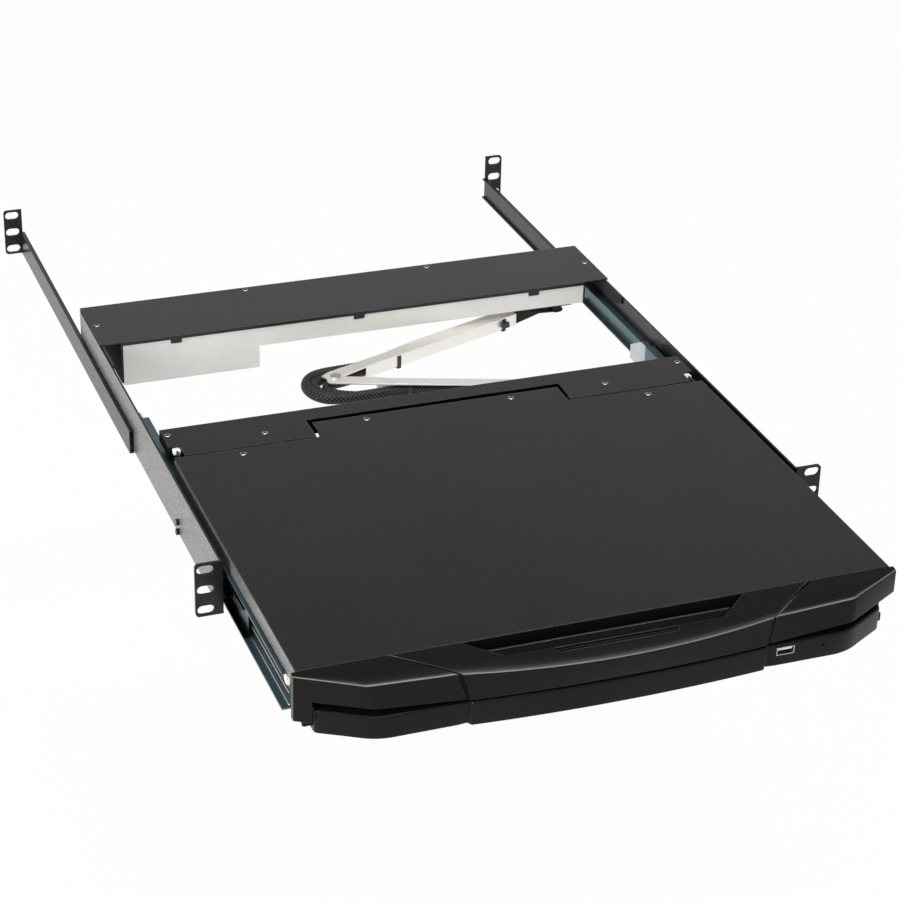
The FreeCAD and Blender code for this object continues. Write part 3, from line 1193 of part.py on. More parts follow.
REAR_RUN = (leaving(CABLE_END_RUN), leaving(24.0), (48, 10.0), (66, 8.0), (116, 8.0), (142, 13.2),
            (166, 16.9), (190, 15.4), (208, 12.4))
FRONT_RUN = (leaving(CABLE_END_RUN), leaving(24.0), (45, 9.4), (62, 8.2), (106, 8.2), (134, 10.4),
             (158, 17.6), (184, 18.3), (212, 17.6))
LEAD_RUN = ((64, 8.2), (46, 7.4), (30, 7.2), (18, 8.6))
LEAD_BENDS = ((-1.0, 14.9), (-13.0, 12.4), (-18.2, 1.5), (-15.4, -10.5), (-6.5, -19.3), (6.0, -22.6))


def cable_rear_run():
    """The cable behind the rear link's wall, slack near the link's far end."""
    return tube([on_link(x, y, 1, CABLE_Z) for x, y in REAR_RUN], CABLE_R)


def cable_front_run():
    """The cable along the front link, which leaves it near the tray."""
    return tube([on_link(x, y, -1, CABLE_Z) for x, y in FRONT_RUN], CABLE_R)


def cable_elbow_loop():
    """The cable round the elbow, and the lead that lies inside its bend."""
    ends = [on_link(*leaving(CABLE_END_RUN), s, CABLE_Z) for s in (1, -1)]
    shoulders = [on_link(*leaving(0.0), s, CABLE_Z) for s in (1, -1)]
    left = (ARM_ELBOW[0] - CABLE_LOOP_R, ARM_ELBOW[1], CABLE_Z)
    line = [
        Part.LineSegment(Vector(*ends[0]), Vector(*shoulders[0])).toShape(),
        Part.Arc(Vector(*shoulders[0]), Vector(*left), Vector(*shoulders[1])).toShape(),
        Part.LineSegment(Vector(*shoulders[1]), Vector(*ends[1])).toShape(),
    ]
    loop = swept(Part.Wire(line), ends[0], shoulders[0], CABLE_R)
    return joined([loop, elbow_lead()]).cut([cable_rear_run(), cable_front_run()])


def elbow_lead():
    """The thinner lead that parts from the sleeve on the rear link and joins it again at the front."""
    bends = [(ARM_ELBOW[0] + x, ARM_ELBOW[1] + y, LEAD_Z) for x, y in LEAD_BENDS]
    return tube([on_link(x, y, 1, LEAD_Z) for x, y in LEAD_RUN] + bends, LEAD_R)


def cable_box_run():
    """The cable from the rear link's end into the housing's grommet."""
    (xa, ya), (xb, yb) = REAR_RUN[-2:]
    start = on_link(xb, yb, 1, CABLE_Z)
    share = 14.0 / (xb - xa)
    out = on_link(xb + share * (xb - xa), yb + share * (yb - ya), 1, CABLE_Z)
    grommet_x = BOX_RIGHT - 24
    return tube([start, out, (grommet_x, BOX_STEP_Y - 12, CABLE_Z), (grommet_x, BOX_STEP_Y + 3, CABLE_Z)], CABLE_R)


# ================================================================ small parts
def slide_bumpers():
    """The pale bumpers at the front ends of the drawer members."""
    x = TRAY_HALF + DRAWER_MEMBER_SHEET
    z = SLIDE_MID_Z + DRAWER_MEMBER_HEIGHT / 2 - 8.0
    y = DRAWER_MEMBER_YS[0] + 3.4
    return both_sides(rod((x, y, z), (1, 0, 0), 3.2, WEB_INNER - RACK_MEMBER_DEPTH - x - 0.5))


def compound(shapes):
    """Separate solids that share one node."""
    return Part.makeCompound(list(shapes))


def nodes():
    """Every node of the assembly by name."""
    parts = {}
    pairs = {
        "front_bracket": front_bracket(), "rear_bracket": rear_bracket(), "slide_rack_member": rack_member(),
        "slide_middle_member": middle_member(), "slide_drawer_member": drawer_member(),
    }
    for name, shape in pairs.items():
        parts[name + "_right"] = shape
        parts[name + "_left"] = flipped(shape)
    cages = ball_cages()
    parts["ball_cages_right"] = compound(cages)
    parts["ball_cages_left"] = compound([flipped(c) for c in cages])
    parts["box_base"] = box_base()
    parts["box_cover"] = box_cover()
    parts["box_board"] = box_board()
    parts["box_screws"] = compound([pan_screw(x, y, UNIT_TOP) for x, y in box_screw_places()])
    parts["power_inlet"] = power_inlet()
    parts["console_port"] = compound(console_port())
    parts["arm_anchor"] = arm_anchor()
    parts["tray_pan"] = tray_pan()
    parts["rear_cover"] = rear_cover()
    parts["cover_screws"] = compound([pan_screw(x, y, UNIT_TOP) for x, y in cover_screw_places()])
    parts["tray_board"] = tray_board()
    parts["tray_anchor"] = tray_anchor()
    parts["keyboard_deck"] = keyboard_deck()
    parts["key_plate"] = key_plate()
    parts["keycaps"] = compound(keys_fixed())
    for name, place in moving_keys().items():
        parts[name] = key_named(place)
    parts["touchpad"] = touchpad()
    parts["touch_button_left"] = touch_button(-1)
    parts["touch_button_right"] = touch_button(1)
    parts["lower_bezel"] = lower_bezel()
    parts["usb_port"] = usb_port()
    parts["slide_bumpers"] = compound(slide_bumpers())
    parts["hinge_brackets"] = compound(hinge_brackets())
    parts["lid_shell"] = lid_shell()
    parts["upper_bezel"] = upper_bezel()
    parts["lcd_panel"] = lcd_panel()
    parts["lcd_frame"] = lcd_frame()
    parts["hinge_leaves"] = compound(hinge_leaves())
    parts["hinge_pins"] = compound(hinge_pins())
    parts["lid_screws"] = compound([pan_screw(x, y, UNIT_TOP) for x, y in lid_screw_places()])
    parts["latch_lever"] = latch_lever()
    for number, x in enumerate(osd_xs(), 1):
        parts["osd_button_%d" % number] = osd_button(x)
    parts["arm_rear_link"] = arm_rear_link()
    parts["arm_end_bracket"] = arm_end_bracket()
    parts["arm_rear_ties"] = compound(rear_ties())
    parts["arm_front_link"] = arm_front_link()
    parts["arm_front_ties"] = compound([tie(x, out, FRONT_LINK_YS, -1) for x, out in FRONT_TIES])
    parts["elbow_rivet"] = elbow_rivet()
    parts["tray_pin"] = tray_pin()
    parts["cable_rear_run"] = cable_rear_run()
    parts["cable_front_run"] = cable_front_run()
    parts["cable_elbow_loop"] = cable_elbow_loop()
    parts["cable_box_run"] = cable_box_run()
    return parts


def main():
    """Write one STEP file per node and report the solids."""
    os.makedirs("parts", exist_ok=True)
    made = nodes()
    facets = 0
    for name, shape in sorted(made.items()):
        if not shape.isValid():
            print("NOT VALID", name)
        shape.exportStep("parts/%s.step" % name)
        count = sum(len(s.tessellate(0.3)[1]) for s in shape.Solids)
        facets += count
        print("%-28s solids %3d  volume %10.1f  facets %5d" % (name, len(shape.Solids), shape.Volume, count))
    print("nodes", len(made), "facets", facets)
    print("cable radii", RADII)
    print("elbow", [round(v, 2) for v in ARM_ELBOW], "arm angle", round(ARM_ANGLE, 3))


main()
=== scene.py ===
# %% [markdown]
# # A rack console drawer, dressed
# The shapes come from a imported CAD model, in metres. This lesson gives them a camera, a studio,
# finishes, and the pieces that a solid modeller leaves plain: moulded bezels, braided cable, screws.

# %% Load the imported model
import json
import math

import bmesh
import bpy
import numpy as np
from mathutils import Matrix, Vector


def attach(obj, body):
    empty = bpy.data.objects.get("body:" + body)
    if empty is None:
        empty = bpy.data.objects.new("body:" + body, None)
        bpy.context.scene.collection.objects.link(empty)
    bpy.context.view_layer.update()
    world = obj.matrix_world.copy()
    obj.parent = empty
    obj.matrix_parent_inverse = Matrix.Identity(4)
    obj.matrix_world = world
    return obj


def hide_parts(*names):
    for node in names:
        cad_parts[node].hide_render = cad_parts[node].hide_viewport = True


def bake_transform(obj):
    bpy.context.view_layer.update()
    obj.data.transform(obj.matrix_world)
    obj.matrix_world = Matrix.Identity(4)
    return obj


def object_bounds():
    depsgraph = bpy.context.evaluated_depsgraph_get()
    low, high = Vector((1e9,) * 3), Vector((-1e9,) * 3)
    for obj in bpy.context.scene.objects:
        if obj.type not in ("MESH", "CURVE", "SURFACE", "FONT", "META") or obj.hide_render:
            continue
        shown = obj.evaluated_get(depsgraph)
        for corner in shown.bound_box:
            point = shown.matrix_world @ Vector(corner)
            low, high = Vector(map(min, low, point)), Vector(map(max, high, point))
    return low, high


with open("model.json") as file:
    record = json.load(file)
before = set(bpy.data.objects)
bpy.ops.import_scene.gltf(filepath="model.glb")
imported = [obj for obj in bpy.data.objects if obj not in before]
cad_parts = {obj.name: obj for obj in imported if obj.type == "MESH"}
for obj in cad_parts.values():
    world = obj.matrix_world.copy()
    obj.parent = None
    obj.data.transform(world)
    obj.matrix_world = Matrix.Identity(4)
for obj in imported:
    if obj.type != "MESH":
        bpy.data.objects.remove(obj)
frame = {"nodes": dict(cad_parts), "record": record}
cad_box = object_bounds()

nodes = frame["nodes"]
print("nodes", len(nodes), "box", cad_box)

# %% [markdown]
# ## The camera
# A long lens from far off keeps the drawer's sides nearly parallel. The camera is placed by its
# position and three turns, and its axes go straight into the object's matrix, so no target or
# constraint is needed.

# %% Camera
CAMERA_AT = Vector((-0.6089, -1.4561, 0.9033))
CAMERA_TURN = math.radians(20.816)     # to the right of straight ahead (+Y)
CAMERA_DIP = math.radians(27.842)
CAMERA_ROLL = math.radians(1.456)
LENS_MM = 101.4


def camera_axes(turn, dip, roll):
    """Right, up and backward axes of a heading turned from +Y, dipped, then rolled."""
    ahead = Vector((math.sin(turn) * math.cos(dip), math.cos(turn) * math.cos(dip), -math.sin(dip)))
    right = Vector((math.cos(turn), -math.sin(turn), 0.0))
    up = right.cross(ahead)
    rolled_right = right * math.cos(roll) + up * math.sin(roll)
    rolled_up = up * math.cos(roll) - right * math.sin(roll)
    return rolled_right, rolled_up, -ahead


camera_data = bpy.data.cameras.new("studio_camera")
camera_data.lens = LENS_MM
camera_data.sensor_width = 36.0
camera_data.clip_end = 50.0
camera = bpy.data.objects.new("studio_camera", camera_data)
bpy.context.scene.collection.objects.link(camera)
camera.matrix_world = Matrix.Translation(CAMERA_AT) @ Matrix(
    camera_axes(CAMERA_TURN, CAMERA_DIP, CAMERA_ROLL)).transposed().to_4x4()
bpy.context.scene.camera = camera
print("camera", tuple(round(v, 3) for v in CAMERA_AT))

# %% [markdown]
# ## Floor, world and lamps
# The studio is a pale floor under a white sky. The camera sees an even white, but gloss sees a
# ceiling that darkens upwards, with one bright bank straight overhead, so black paint gets soft
# reflections. Three soft boxes, at the left, in front and above, draw the folds of the sheet.


# %% Helpers for shader nodes
def feed(tree, socket, value):
    """Links a socket to another node's output, or gives it a plain value."""
    if isinstance(value, bpy.types.NodeSocket):
        tree.links.new(value, socket)
    else:
        socket.default_value = value


def calculated(tree, operation, first, second=None):
    """The result of one operation on one or two values."""
    node = tree.nodes.new("ShaderNodeMath")
    node.operation = operation
    feed(tree, node.inputs[0], first)
    if second is not None:
        feed(tree, node.inputs[1], second)
    return node.outputs["Value"]


def mixed(tree, share, first, second, kind="RGBA"):
    """The first value where the share is nought, the second where it is one."""
    node = tree.nodes.new("ShaderNodeMix")
    node.data_type = kind
    feed(tree, node.inputs["Factor"], share)
    feed(tree, node.inputs["A"], first)
    feed(tree, node.inputs["B"], second)
    return node.outputs["Result"]


def mixed_shaders(tree, share, first, second):
    """The first shader where the share is nought, the second where it is one."""
    node = tree.nodes.new("ShaderNodeMixShader")
    for socket, value in zip(node.inputs, (share, first, second)):
        tree.links.new(value, socket)
    return node.outputs["Shader"]


def ramp_between(tree, value, low, high, span=(0.3, 0.7)):
    """Maps a span of a value to the range low..high, and holds its ends beyond it."""
    node = tree.nodes.new("ShaderNodeMapRange")
    node.inputs["From Min"].default_value, node.inputs["From Max"].default_value = span
    node.inputs["To Min"].default_value, node.inputs["To Max"].default_value = low, high
    tree.links.new(value, node.inputs["Value"])
    return node.outputs["Result"]


def axis_of(tree, vector, axis):
    """One axis of a vector."""
    split = tree.nodes.new("ShaderNodeSeparateXYZ")
    tree.links.new(vector, split.inputs["Vector"])
    return split.outputs[axis]


def coordinates(tree, kind):
    """A place or a direction on the surface: Object, Normal or Generated."""
    return tree.nodes.new("ShaderNodeTexCoord").outputs[kind]


def seen_rays(tree):
    """1 for camera, glossy and transmission rays, 0 for the rays that only carry light."""
    rays = tree.nodes.new("ShaderNodeLightPath")
    total = rays.outputs["Is Camera Ray"]
    for other in ("Is Glossy Ray", "Is Transmission Ray"):
        total = calculated(tree, "MAXIMUM", total, rays.outputs[other])
    return total


# %% Floor and world
FLOOR_DROP = 0.26               # below the part
FLOOR_HALF = 6.0
FLOOR_GLOW = 0.95               # how far the floor shines by itself
SKY_LIGHT = 0.62                # what the sky gives as light
CEILING_SPAN = (0.20, 0.60)     # sine of the height above the horizon
CEILING_TONE = (1.0, 0.26)      # what gloss sees there
OVERHEAD_SPAN = (0.84, 0.97)    # the bright bank straight overhead
OVERHEAD_TONE = (0.0, 5.0)


def new_mesh_object(name, verts, faces):
    """An object from arrays of points and of faces, linked to the scene."""
    mesh = bpy.data.meshes.new(name)
    mesh.from_pydata(np.asarray(verts, float).tolist(), [], [list(map(int, f)) for f in faces])
    mesh.update()
    obj = bpy.data.objects.new(name, mesh)
    bpy.context.scene.collection.objects.link(obj)
    return obj


def white_sky(tree, strength):
    """A white background of a given strength."""
    sky = tree.nodes.new("ShaderNodeBackground")
    sky.inputs["Color"].default_value = (1, 1, 1, 1)
    feed(tree, sky.inputs["Strength"], strength)
    return sky.outputs["Background"]


floor_z = cad_box[0][2] - FLOOR_DROP
floor_corners = np.array([(-1, -1, 0), (1, -1, 0), (1, 1, 0), (-1, 1, 0)]) * FLOOR_HALF
floor_corners[:, 2] = floor_z
floor = new_mesh_object("studio_floor", floor_corners, [(0, 1, 2, 3)])

world = bpy.data.worlds.new("studio_sky")
bpy.context.scene.world = world
world.use_nodes = True
tree = world.node_tree
tree.nodes.clear()
height = axis_of(tree, coordinates(tree, "Generated"), "Z")
above = calculated(tree, "MAXIMUM", ramp_between(tree, height, *CEILING_TONE, CEILING_SPAN),
                   ramp_between(tree, height, *OVERHEAD_TONE, OVERHEAD_SPAN))
glossy = tree.nodes.new("ShaderNodeLightPath").outputs["Is Glossy Ray"]
sky_seen = white_sky(tree, mixed(tree, glossy, 1.0, above, "FLOAT"))
sky = mixed_shaders(tree, seen_rays(tree), white_sky(tree, SKY_LIGHT), sky_seen)
tree.links.new(sky, tree.nodes.new("ShaderNodeOutputWorld").inputs["Surface"])
print("floor at", round(floor_z, 4))


# %% Lamps
def area_lamp(name, place, target, size, power):
    """A rectangular lamp at a place, turned to face a target."""
    data = bpy.data.lights.new(name, "AREA")
    data.shape = "RECTANGLE"
    data.size, data.size_y = size
    data.energy = power
    obj = bpy.data.objects.new(name, data)
    bpy.context.scene.collection.objects.link(obj)
    obj.location = place
    obj.rotation_euler = (Vector(target) - Vector(place)).to_track_quat("-Z", "Y").to_euler()


MIDDLE = ((cad_box[0][0] + cad_box[1][0]) / 2, (cad_box[0][1] + cad_box[1][1]) / 2, 0.0)
area_lamp("left_softbox", (-2.3, -0.6, 0.5), MIDDLE, (1.8, 1.0), 52.0)
area_lamp("front_softbox", (-0.7, -2.4, 1.5), MIDDLE, (1.2, 0.7), 14.0)
area_lamp("top_softbox", (0.5, -0.7, 2.2), MIDDLE, (0.7, 0.5), 14.0)
bpy.context.scene.view_settings.view_transform = "Standard"
print("lamps", len(bpy.data.lights))

# %% [markdown]
# ## Finishes
# Every finish is one Principled shader with its own grain. The grain is noise read in Object
# coordinates, which are metres here, so a size in millimetres means the same on every piece. A
# Bevel node softens the edges of folded sheet, which catch the light as thin bright lines. The
# edges that slant upwards are also given a lighter colour, a painted highlight.


# %% A finish builder
def grain(tree, size_mm, detail=2.0, stretch=(1, 1, 1)):
    """A texture value whose features are size_mm wide, in Object coordinates."""
    mapping = tree.nodes.new("ShaderNodeMapping")
    mapping.inputs["Scale"].default_value = stretch
    tree.links.new(coordinates(tree, "Object"), mapping.inputs["Vector"])
    texture = tree.nodes.new("ShaderNodeTexNoise")
    texture.inputs["Detail"].default_value = detail
    texture.inputs["Scale"].default_value = 1000.0 / size_mm
    tree.links.new(mapping.outputs["Vector"], texture.inputs["Vector"])
    return texture.outputs["Fac"]


def mix_colours(tree, value, dark, light, span=(0.3, 0.7)):
    """Mixes two colours by a texture value."""
    return mixed(tree, ramp_between(tree, value, 0.0, 1.0, span), (*dark, 1), (*light, 1))


# %% Painted highlights on upward edges
HIGHLIGHT_STARTS, HIGHLIGHT_ENDS = (0.66, 0.76), (0.87, 0.968)      # upward part of the softened normal


def painted_edge_highlight(tree, normal):
    """Where the painted highlight goes: one where the softened normal slants upwards; nought on flats and on
    sides.
    """
    turn = tree.nodes.new("ShaderNodeVectorTransform")
    turn.vector_type, turn.convert_from, turn.convert_to = "NORMAL", "WORLD", "OBJECT"
    tree.links.new(normal, turn.inputs["Vector"])
    upward = axis_of(tree, turn.outputs["Vector"], "Z")
    return calculated(tree, "MULTIPLY", ramp_between(tree, upward, 0.0, 1.0, HIGHLIGHT_STARTS),
                      ramp_between(tree, upward, 1.0, 0.0, HIGHLIGHT_ENDS))


# %% The finish, and a change to its sides
def blank_material(name):
    """A new material, its node tree and its shader."""
    material = bpy.data.materials.new(name)
    material.use_nodes = True
    return material, material.node_tree, material.node_tree.nodes["Principled BSDF"]


def finish_material(name, dark, light, rough, metallic=0.0, specular=0.5, tone_mm=60.0,
                    grain_mm=0.6, depth_mm=0.02, edge_mm=0.0, stretch=(1, 1, 1), highlight_tone=0.0):
    """A finish: two close tones, a roughness range, a bumped grain and, on sheet, softened edges; with a
    highlight tone, edges slanting upwards get a painted highlight.
    """
    material, tree, shader = blank_material(name)
    shader.inputs["Metallic"].default_value = metallic
    shader.inputs["Specular IOR Level"].default_value = specular
    colour = mix_colours(tree, grain(tree, tone_mm, 4.0), dark, light)
    fine = grain(tree, grain_mm, 3.0, stretch)
    tree.links.new(ramp_between(tree, fine, *rough), shader.inputs["Roughness"])
    bump = tree.nodes.new("ShaderNodeBump")
    bump.inputs["Distance"].default_value = depth_mm / 1000.0
    bump.inputs["Strength"].default_value = 1.0
    tree.links.new(fine, bump.inputs["Height"])
    if edge_mm:
        soft = tree.nodes.new("ShaderNodeBevel")
        soft.samples = 4
        soft.inputs["Radius"].default_value = edge_mm / 1000.0
        tree.links.new(soft.outputs["Normal"], bump.inputs["Normal"])
        if highlight_tone:
            # Painted highlight: the edges that slant upwards are mixed towards a light colour.
            highlight_share = painted_edge_highlight(tree, soft.outputs["Normal"])
            colour = mixed(tree, highlight_share, colour, (highlight_tone, highlight_tone, 0.96 * highlight_tone, 1))
    tree.links.new(colour, shader.inputs["Base Color"])
    tree.links.new(bump.outputs["Normal"], shader.inputs["Normal"])
    return material


def sides_rougher(material, rough):
    """Raises a finish's roughness on the faces that look sideways, along the object's X."""
    tree = material.node_tree
    roughness = tree.nodes["Principled BSDF"].inputs["Roughness"]
    sideways = calculated(tree, "ABSOLUTE", axis_of(tree, coordinates(tree, "Normal"), "X"))
    plain = roughness.links[0].from_socket
    tree.links.new(mixed(tree, sideways, plain, rough, "FLOAT"), roughness)
    return material


# %% Finishes of the metal pieces
powder_black = finish_material("powder_black", (0.005, 0.005, 0.005), (0.008, 0.008, 0.0075), (0.26, 0.34),
                               specular=0.25, grain_mm=0.5, depth_mm=0.008, edge_mm=0.7, highlight_tone=0.16)
housing_black = sides_rougher(finish_material(
    "housing_black", (0.012, 0.012, 0.012), (0.016, 0.016, 0.0155), (0.28, 0.36), specular=0.3, grain_mm=0.5,
    depth_mm=0.008, edge_mm=0.7, highlight_tone=0.20), 0.9)
bracket_black = finish_material("bracket_black", (0.006, 0.006, 0.006), (0.011, 0.011, 0.010), (0.20, 0.34),
                                specular=0.28, tone_mm=20.0, grain_mm=0.8, depth_mm=0.05, edge_mm=0.5)
housing_white = finish_material("housing_white", (0.62, 0.61, 0.58), (0.70, 0.69, 0.66), (0.35, 0.50),
                                metallic=0.2, grain_mm=0.7, depth_mm=0.006, edge_mm=0.4)
zinc_plate = finish_material("zinc_plate", (0.46, 0.50, 0.54), (0.62, 0.64, 0.66), (0.20, 0.34),
                             metallic=1.0, tone_mm=25.0, grain_mm=0.8, depth_mm=0.004, edge_mm=0.4,
                             stretch=(1, 0.06, 1))
slide_teal = finish_material("slide_teal", (0.050, 0.092, 0.105), (0.085, 0.135, 0.150), (0.24, 0.36),
                             metallic=0.55, tone_mm=25.0, grain_mm=0.8, depth_mm=0.004, edge_mm=0.3,
                             stretch=(1, 0.06, 1))
# Painted shade: the dark finish of the web between the slides' ribs.
slide_shade = finish_material("slide_shade", (0.010, 0.016, 0.018), (0.018, 0.026, 0.029), (0.24, 0.36),
                              metallic=0.6, tone_mm=25.0, grain_mm=0.8, depth_mm=0.004,
                              stretch=(1, 0.06, 1))
# Painted reflection: light grey flecks on black paint; the coarse grain itself is the paint's own.
grain_and_painted_reflection = finish_material("grain_and_painted_reflection", (0.035, 0.035, 0.033), (0.200, 0.198, 0.185), (0.26, 0.40),
                              specular=0.5, tone_mm=1.6, grain_mm=0.9, depth_mm=0.06)
arm_steel = finish_material("arm_steel", (0.92, 0.89, 0.84), (0.97, 0.94, 0.89), (0.34, 0.46),
                            metallic=0.9, tone_mm=30.0, grain_mm=0.5, depth_mm=0.004, edge_mm=0.5)
screw_nickel = finish_material("screw_nickel", (0.50, 0.49, 0.46), (0.66, 0.65, 0.62), (0.18, 0.30),
                               metallic=1.0, tone_mm=3.0, grain_mm=0.3, depth_mm=0.003)
port_tin = finish_material("port_tin", (0.60, 0.60, 0.58), (0.72, 0.72, 0.70), (0.22, 0.34),
                           metallic=1.0, tone_mm=6.0, grain_mm=0.4, depth_mm=0.003)
print("finishes so far", len(bpy.data.materials))


# %% The middle slide members: darker at the front, bare zinc behind
def darker_ahead(material, dark, span_y):
    """Mixes a finish's colour towards a dark one ahead of a place along the object's Y, in metres."""
    tree = material.node_tree
    colour = tree.nodes["Principled BSDF"].inputs["Base Color"]
    behind = ramp_between(tree, axis_of(tree, coordinates(tree, "Object"), "Y"), 0.0, 1.0, span_y)
    tree.links.new(mixed(tree, behind, (*dark, 1), colour.links[0].from_socket), colour)
    return material


slide_middle = darker_ahead(zinc_plate.copy(), (0.010, 0.017, 0.020), (0.10, 0.20))

# %% Finishes of the plastic pieces
BEZEL_LOOK = {
    "dark": (0.0056, 0.0049, 0.0042), "light": (0.0076, 0.0068, 0.0060), "rough": (0.22, 0.30),
    "specular": 0.13, "tone_mm": 80.0, "grain_mm": 0.35, "depth_mm": 0.005,
}
bezel_plastic = finish_material("bezel_plastic", **BEZEL_LOOK, edge_mm=0.6, highlight_tone=0.20)
bezel_lower = finish_material("bezel_lower", **BEZEL_LOOK, edge_mm=0.5)
deck_plastic = finish_material("deck_plastic", (0.022, 0.022, 0.022), (0.028, 0.028, 0.028), (0.48, 0.58),
                               specular=0.4, grain_mm=0.4, depth_mm=0.012)
key_plastic = finish_material("key_plastic", (0.016, 0.016, 0.017), (0.020, 0.020, 0.021), (0.50, 0.60),
                              specular=0.4, grain_mm=0.3, depth_mm=0.010)
pad_plastic = finish_material("pad_plastic", (0.035, 0.035, 0.036), (0.042, 0.042, 0.043), (0.34, 0.40),
                              specular=0.5, grain_mm=0.3, depth_mm=0.004)
screen_glass = finish_material("screen_glass", (0.003, 0.004, 0.007), (0.004, 0.005, 0.009), (0.03, 0.05),
                               specular=0.22, tone_mm=200.0, grain_mm=1.0, depth_mm=0.0002)
nylon_cream = finish_material("nylon_cream", (0.66, 0.62, 0.50), (0.72, 0.68, 0.57), (0.40, 0.50),
                              tone_mm=4.0, grain_mm=0.4, depth_mm=0.008)
nylon_white = finish_material("nylon_white", (0.88, 0.88, 0.86), (0.93, 0.93, 0.91), (0.40, 0.50),
                              tone_mm=4.0, grain_mm=0.4, depth_mm=0.008)
nylon_black = finish_material("nylon_black", (0.016, 0.016, 0.016), (0.022, 0.022, 0.022), (0.36, 0.46),
                              grain_mm=0.4, depth_mm=0.006)
board_green = finish_material("board_green", (0.010, 0.070, 0.025), (0.018, 0.100, 0.038), (0.30, 0.42),
                              tone_mm=7.0, grain_mm=0.8, depth_mm=0.02)
print("finishes so far", len(bpy.data.materials))

# %% Give each record slot its finish
SLOT_FINISH = {
    "bracket_black": bracket_black, "slide_zinc": slide_teal, "slide_dark": slide_teal,
    "cage_plastic": nylon_cream, "box_white": housing_white, "cover_black": powder_black,
    "board_green": board_green, "screw_steel": screw_nickel, "inlet_plastic": nylon_black,
    "port_metal": port_tin, "anchor_steel": zinc_plate, "tray_steel": powder_black,
    "deck_plastic": deck_plastic, "key_plastic": key_plastic, "touchpad_plastic": pad_plastic,
    "bezel_plastic": bezel_plastic, "bumper_cream": nylon_cream, "lcd_module": screen_glass,
    "lid_frame_plastic": deck_plastic, "arm_steel": arm_steel, "arm_black": powder_black,
    "tie_plastic": nylon_black, "tie_natural": nylon_black,
    "cable_braid": nylon_black,     # until the woven sleeves stand for the cable
}
for part in frame["record"]["subparts"]:
    nodes[part["node"]].data.materials.clear()
    nodes[part["node"]].data.materials.append(SLOT_FINISH[part["material_slot"]])
nodes["box_cover"].data.materials[0] = housing_black
for side in ("left", "right"):
    nodes["slide_middle_member_" + side].data.materials[0] = slide_middle

floor_material, tree, shader = blank_material("studio_floor")
shader.inputs["Base Color"].default_value = (0.93, 0.93, 0.93, 1)
shader.inputs["Roughness"].default_value = 0.9
shader.inputs["Specular IOR Level"].default_value = 0.0
glow = tree.nodes.new("ShaderNodeEmission")
glow.inputs["Strength"].default_value = 1.0
glowing = calculated(tree, "MULTIPLY", seen_rays(tree), FLOOR_GLOW)
tree.links.new(mixed_shaders(tree, glowing, shader.outputs["BSDF"], glow.outputs["Emission"]),
               tree.nodes["Material Output"].inputs["Surface"])
floor.data.materials.append(floor_material)

# %% [markdown]
# ## Worked-out surfaces
# The pieces that follow are grids of points, computed with numpy as whole arrays and joined by
# quads. Doubles are merged where a grid folds onto itself, and the faces are turned outwards.

# %% A grid becomes faces
MM = 0.001
SMOOTH_ANGLE = math.radians(35)
SIDES = ((-1, "left"), (1, "right"))


def on_side(side, place):
    """A place of the right side, or its mirror image."""
    return (side * place[0], *place[1:])


def mirrored(half, sign=1):
    """Columns from the middle outwards, with their mirror image before them."""
    return np.concatenate([sign * half[::-1], half[1:]])


def grid_faces(rows, columns, close_rows=False, close_columns=False):
    """The quads of a rows x columns grid: their row indices, their column indices, and themselves."""
    i, j = np.meshgrid(np.arange(rows if close_rows else rows - 1),
                       np.arange(columns if close_columns else columns - 1), indexing="ij")
    i, j = i.ravel(), j.ravel()
    below, right = (i + 1) % rows, (j + 1) % columns
    quads = [i * columns + j, i * columns + right, below * columns + right, below * columns + j]
    return i, j, np.stack(quads, -1)


def end_caps(rows, columns):
    """The first and the last column of a grid, as two faces."""
    first = np.arange(rows) * columns
    return [first.tolist(), (first + columns - 1).tolist()]


def closed_sections(grid):
    """Faces of a grid whose rows go round, with its first and last columns closed."""
    rows, columns = grid.shape[:2]
    return grid_faces(rows, columns, close_rows=True)[2].tolist() + end_caps(rows, columns)


def closed_turn(grid):
    """Faces of a grid whose columns go round, with its first and last rows closed."""
    rows, columns = grid.shape[:2]
    ends = [list(range(columns)), list(range((rows - 1) * columns, rows * columns))]
    return grid_faces(rows, columns, close_columns=True)[2].tolist() + ends


# %% Cleaning and dressing a piece
def clean(obj, merge=True):
    """Merges doubled points, unless told not to, and turns the faces outwards."""
    work = bmesh.new()
    work.from_mesh(obj.data)
    if merge:
        bmesh.ops.remove_doubles(work, verts=work.verts, dist=0.01 * MM)
        bmesh.ops.dissolve_degenerate(work, edges=work.edges, dist=0.005 * MM)
    bmesh.ops.recalc_face_normals(work, faces=work.faces)
    work.to_mesh(obj.data)
    work.free()


def make_piece(name, points, faces, body, slot, replaced=(), finish=None):
    """A closed piece from points in millimetres: doubles merged, faces outwards, soft shading."""
    obj = new_mesh_object(name, np.asarray(points).reshape(-1, 3) * MM, faces)
    clean(obj)
    return dress(obj, body, slot, replaced, finish)


def dress(obj, body, slot, replaced=(), finish=None):
    """Smooth shading up to a limit angle, a finish (the slot's, unless one is given), a body, and the nodes
    it stands for hidden.
    """
    obj.data.polygons.foreach_set("use_smooth", np.ones(len(obj.data.polygons), bool))
    obj.data.set_sharp_from_angle(angle=SMOOTH_ANGLE)
    obj.data.materials.append(finish or SLOT_FINISH[slot])
    if body:
        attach(obj, body)
    if replaced:
        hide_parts(*replaced)
    print(obj.name, len(obj.data.polygons), "faces")
    return obj


def face_centres(obj):
    """The middle of each face, in millimetres."""
    middles = np.empty(len(obj.data.polygons) * 3)
    obj.data.polygons.foreach_get("center", middles)
    return middles.reshape(-1, 3) / MM


def second_finish(obj, finish, chosen):
    """Gives the chosen faces of a piece another finish."""
    obj.data.materials.append(finish)
    obj.data.polygons.foreach_set("material_index", chosen.astype(np.int32))


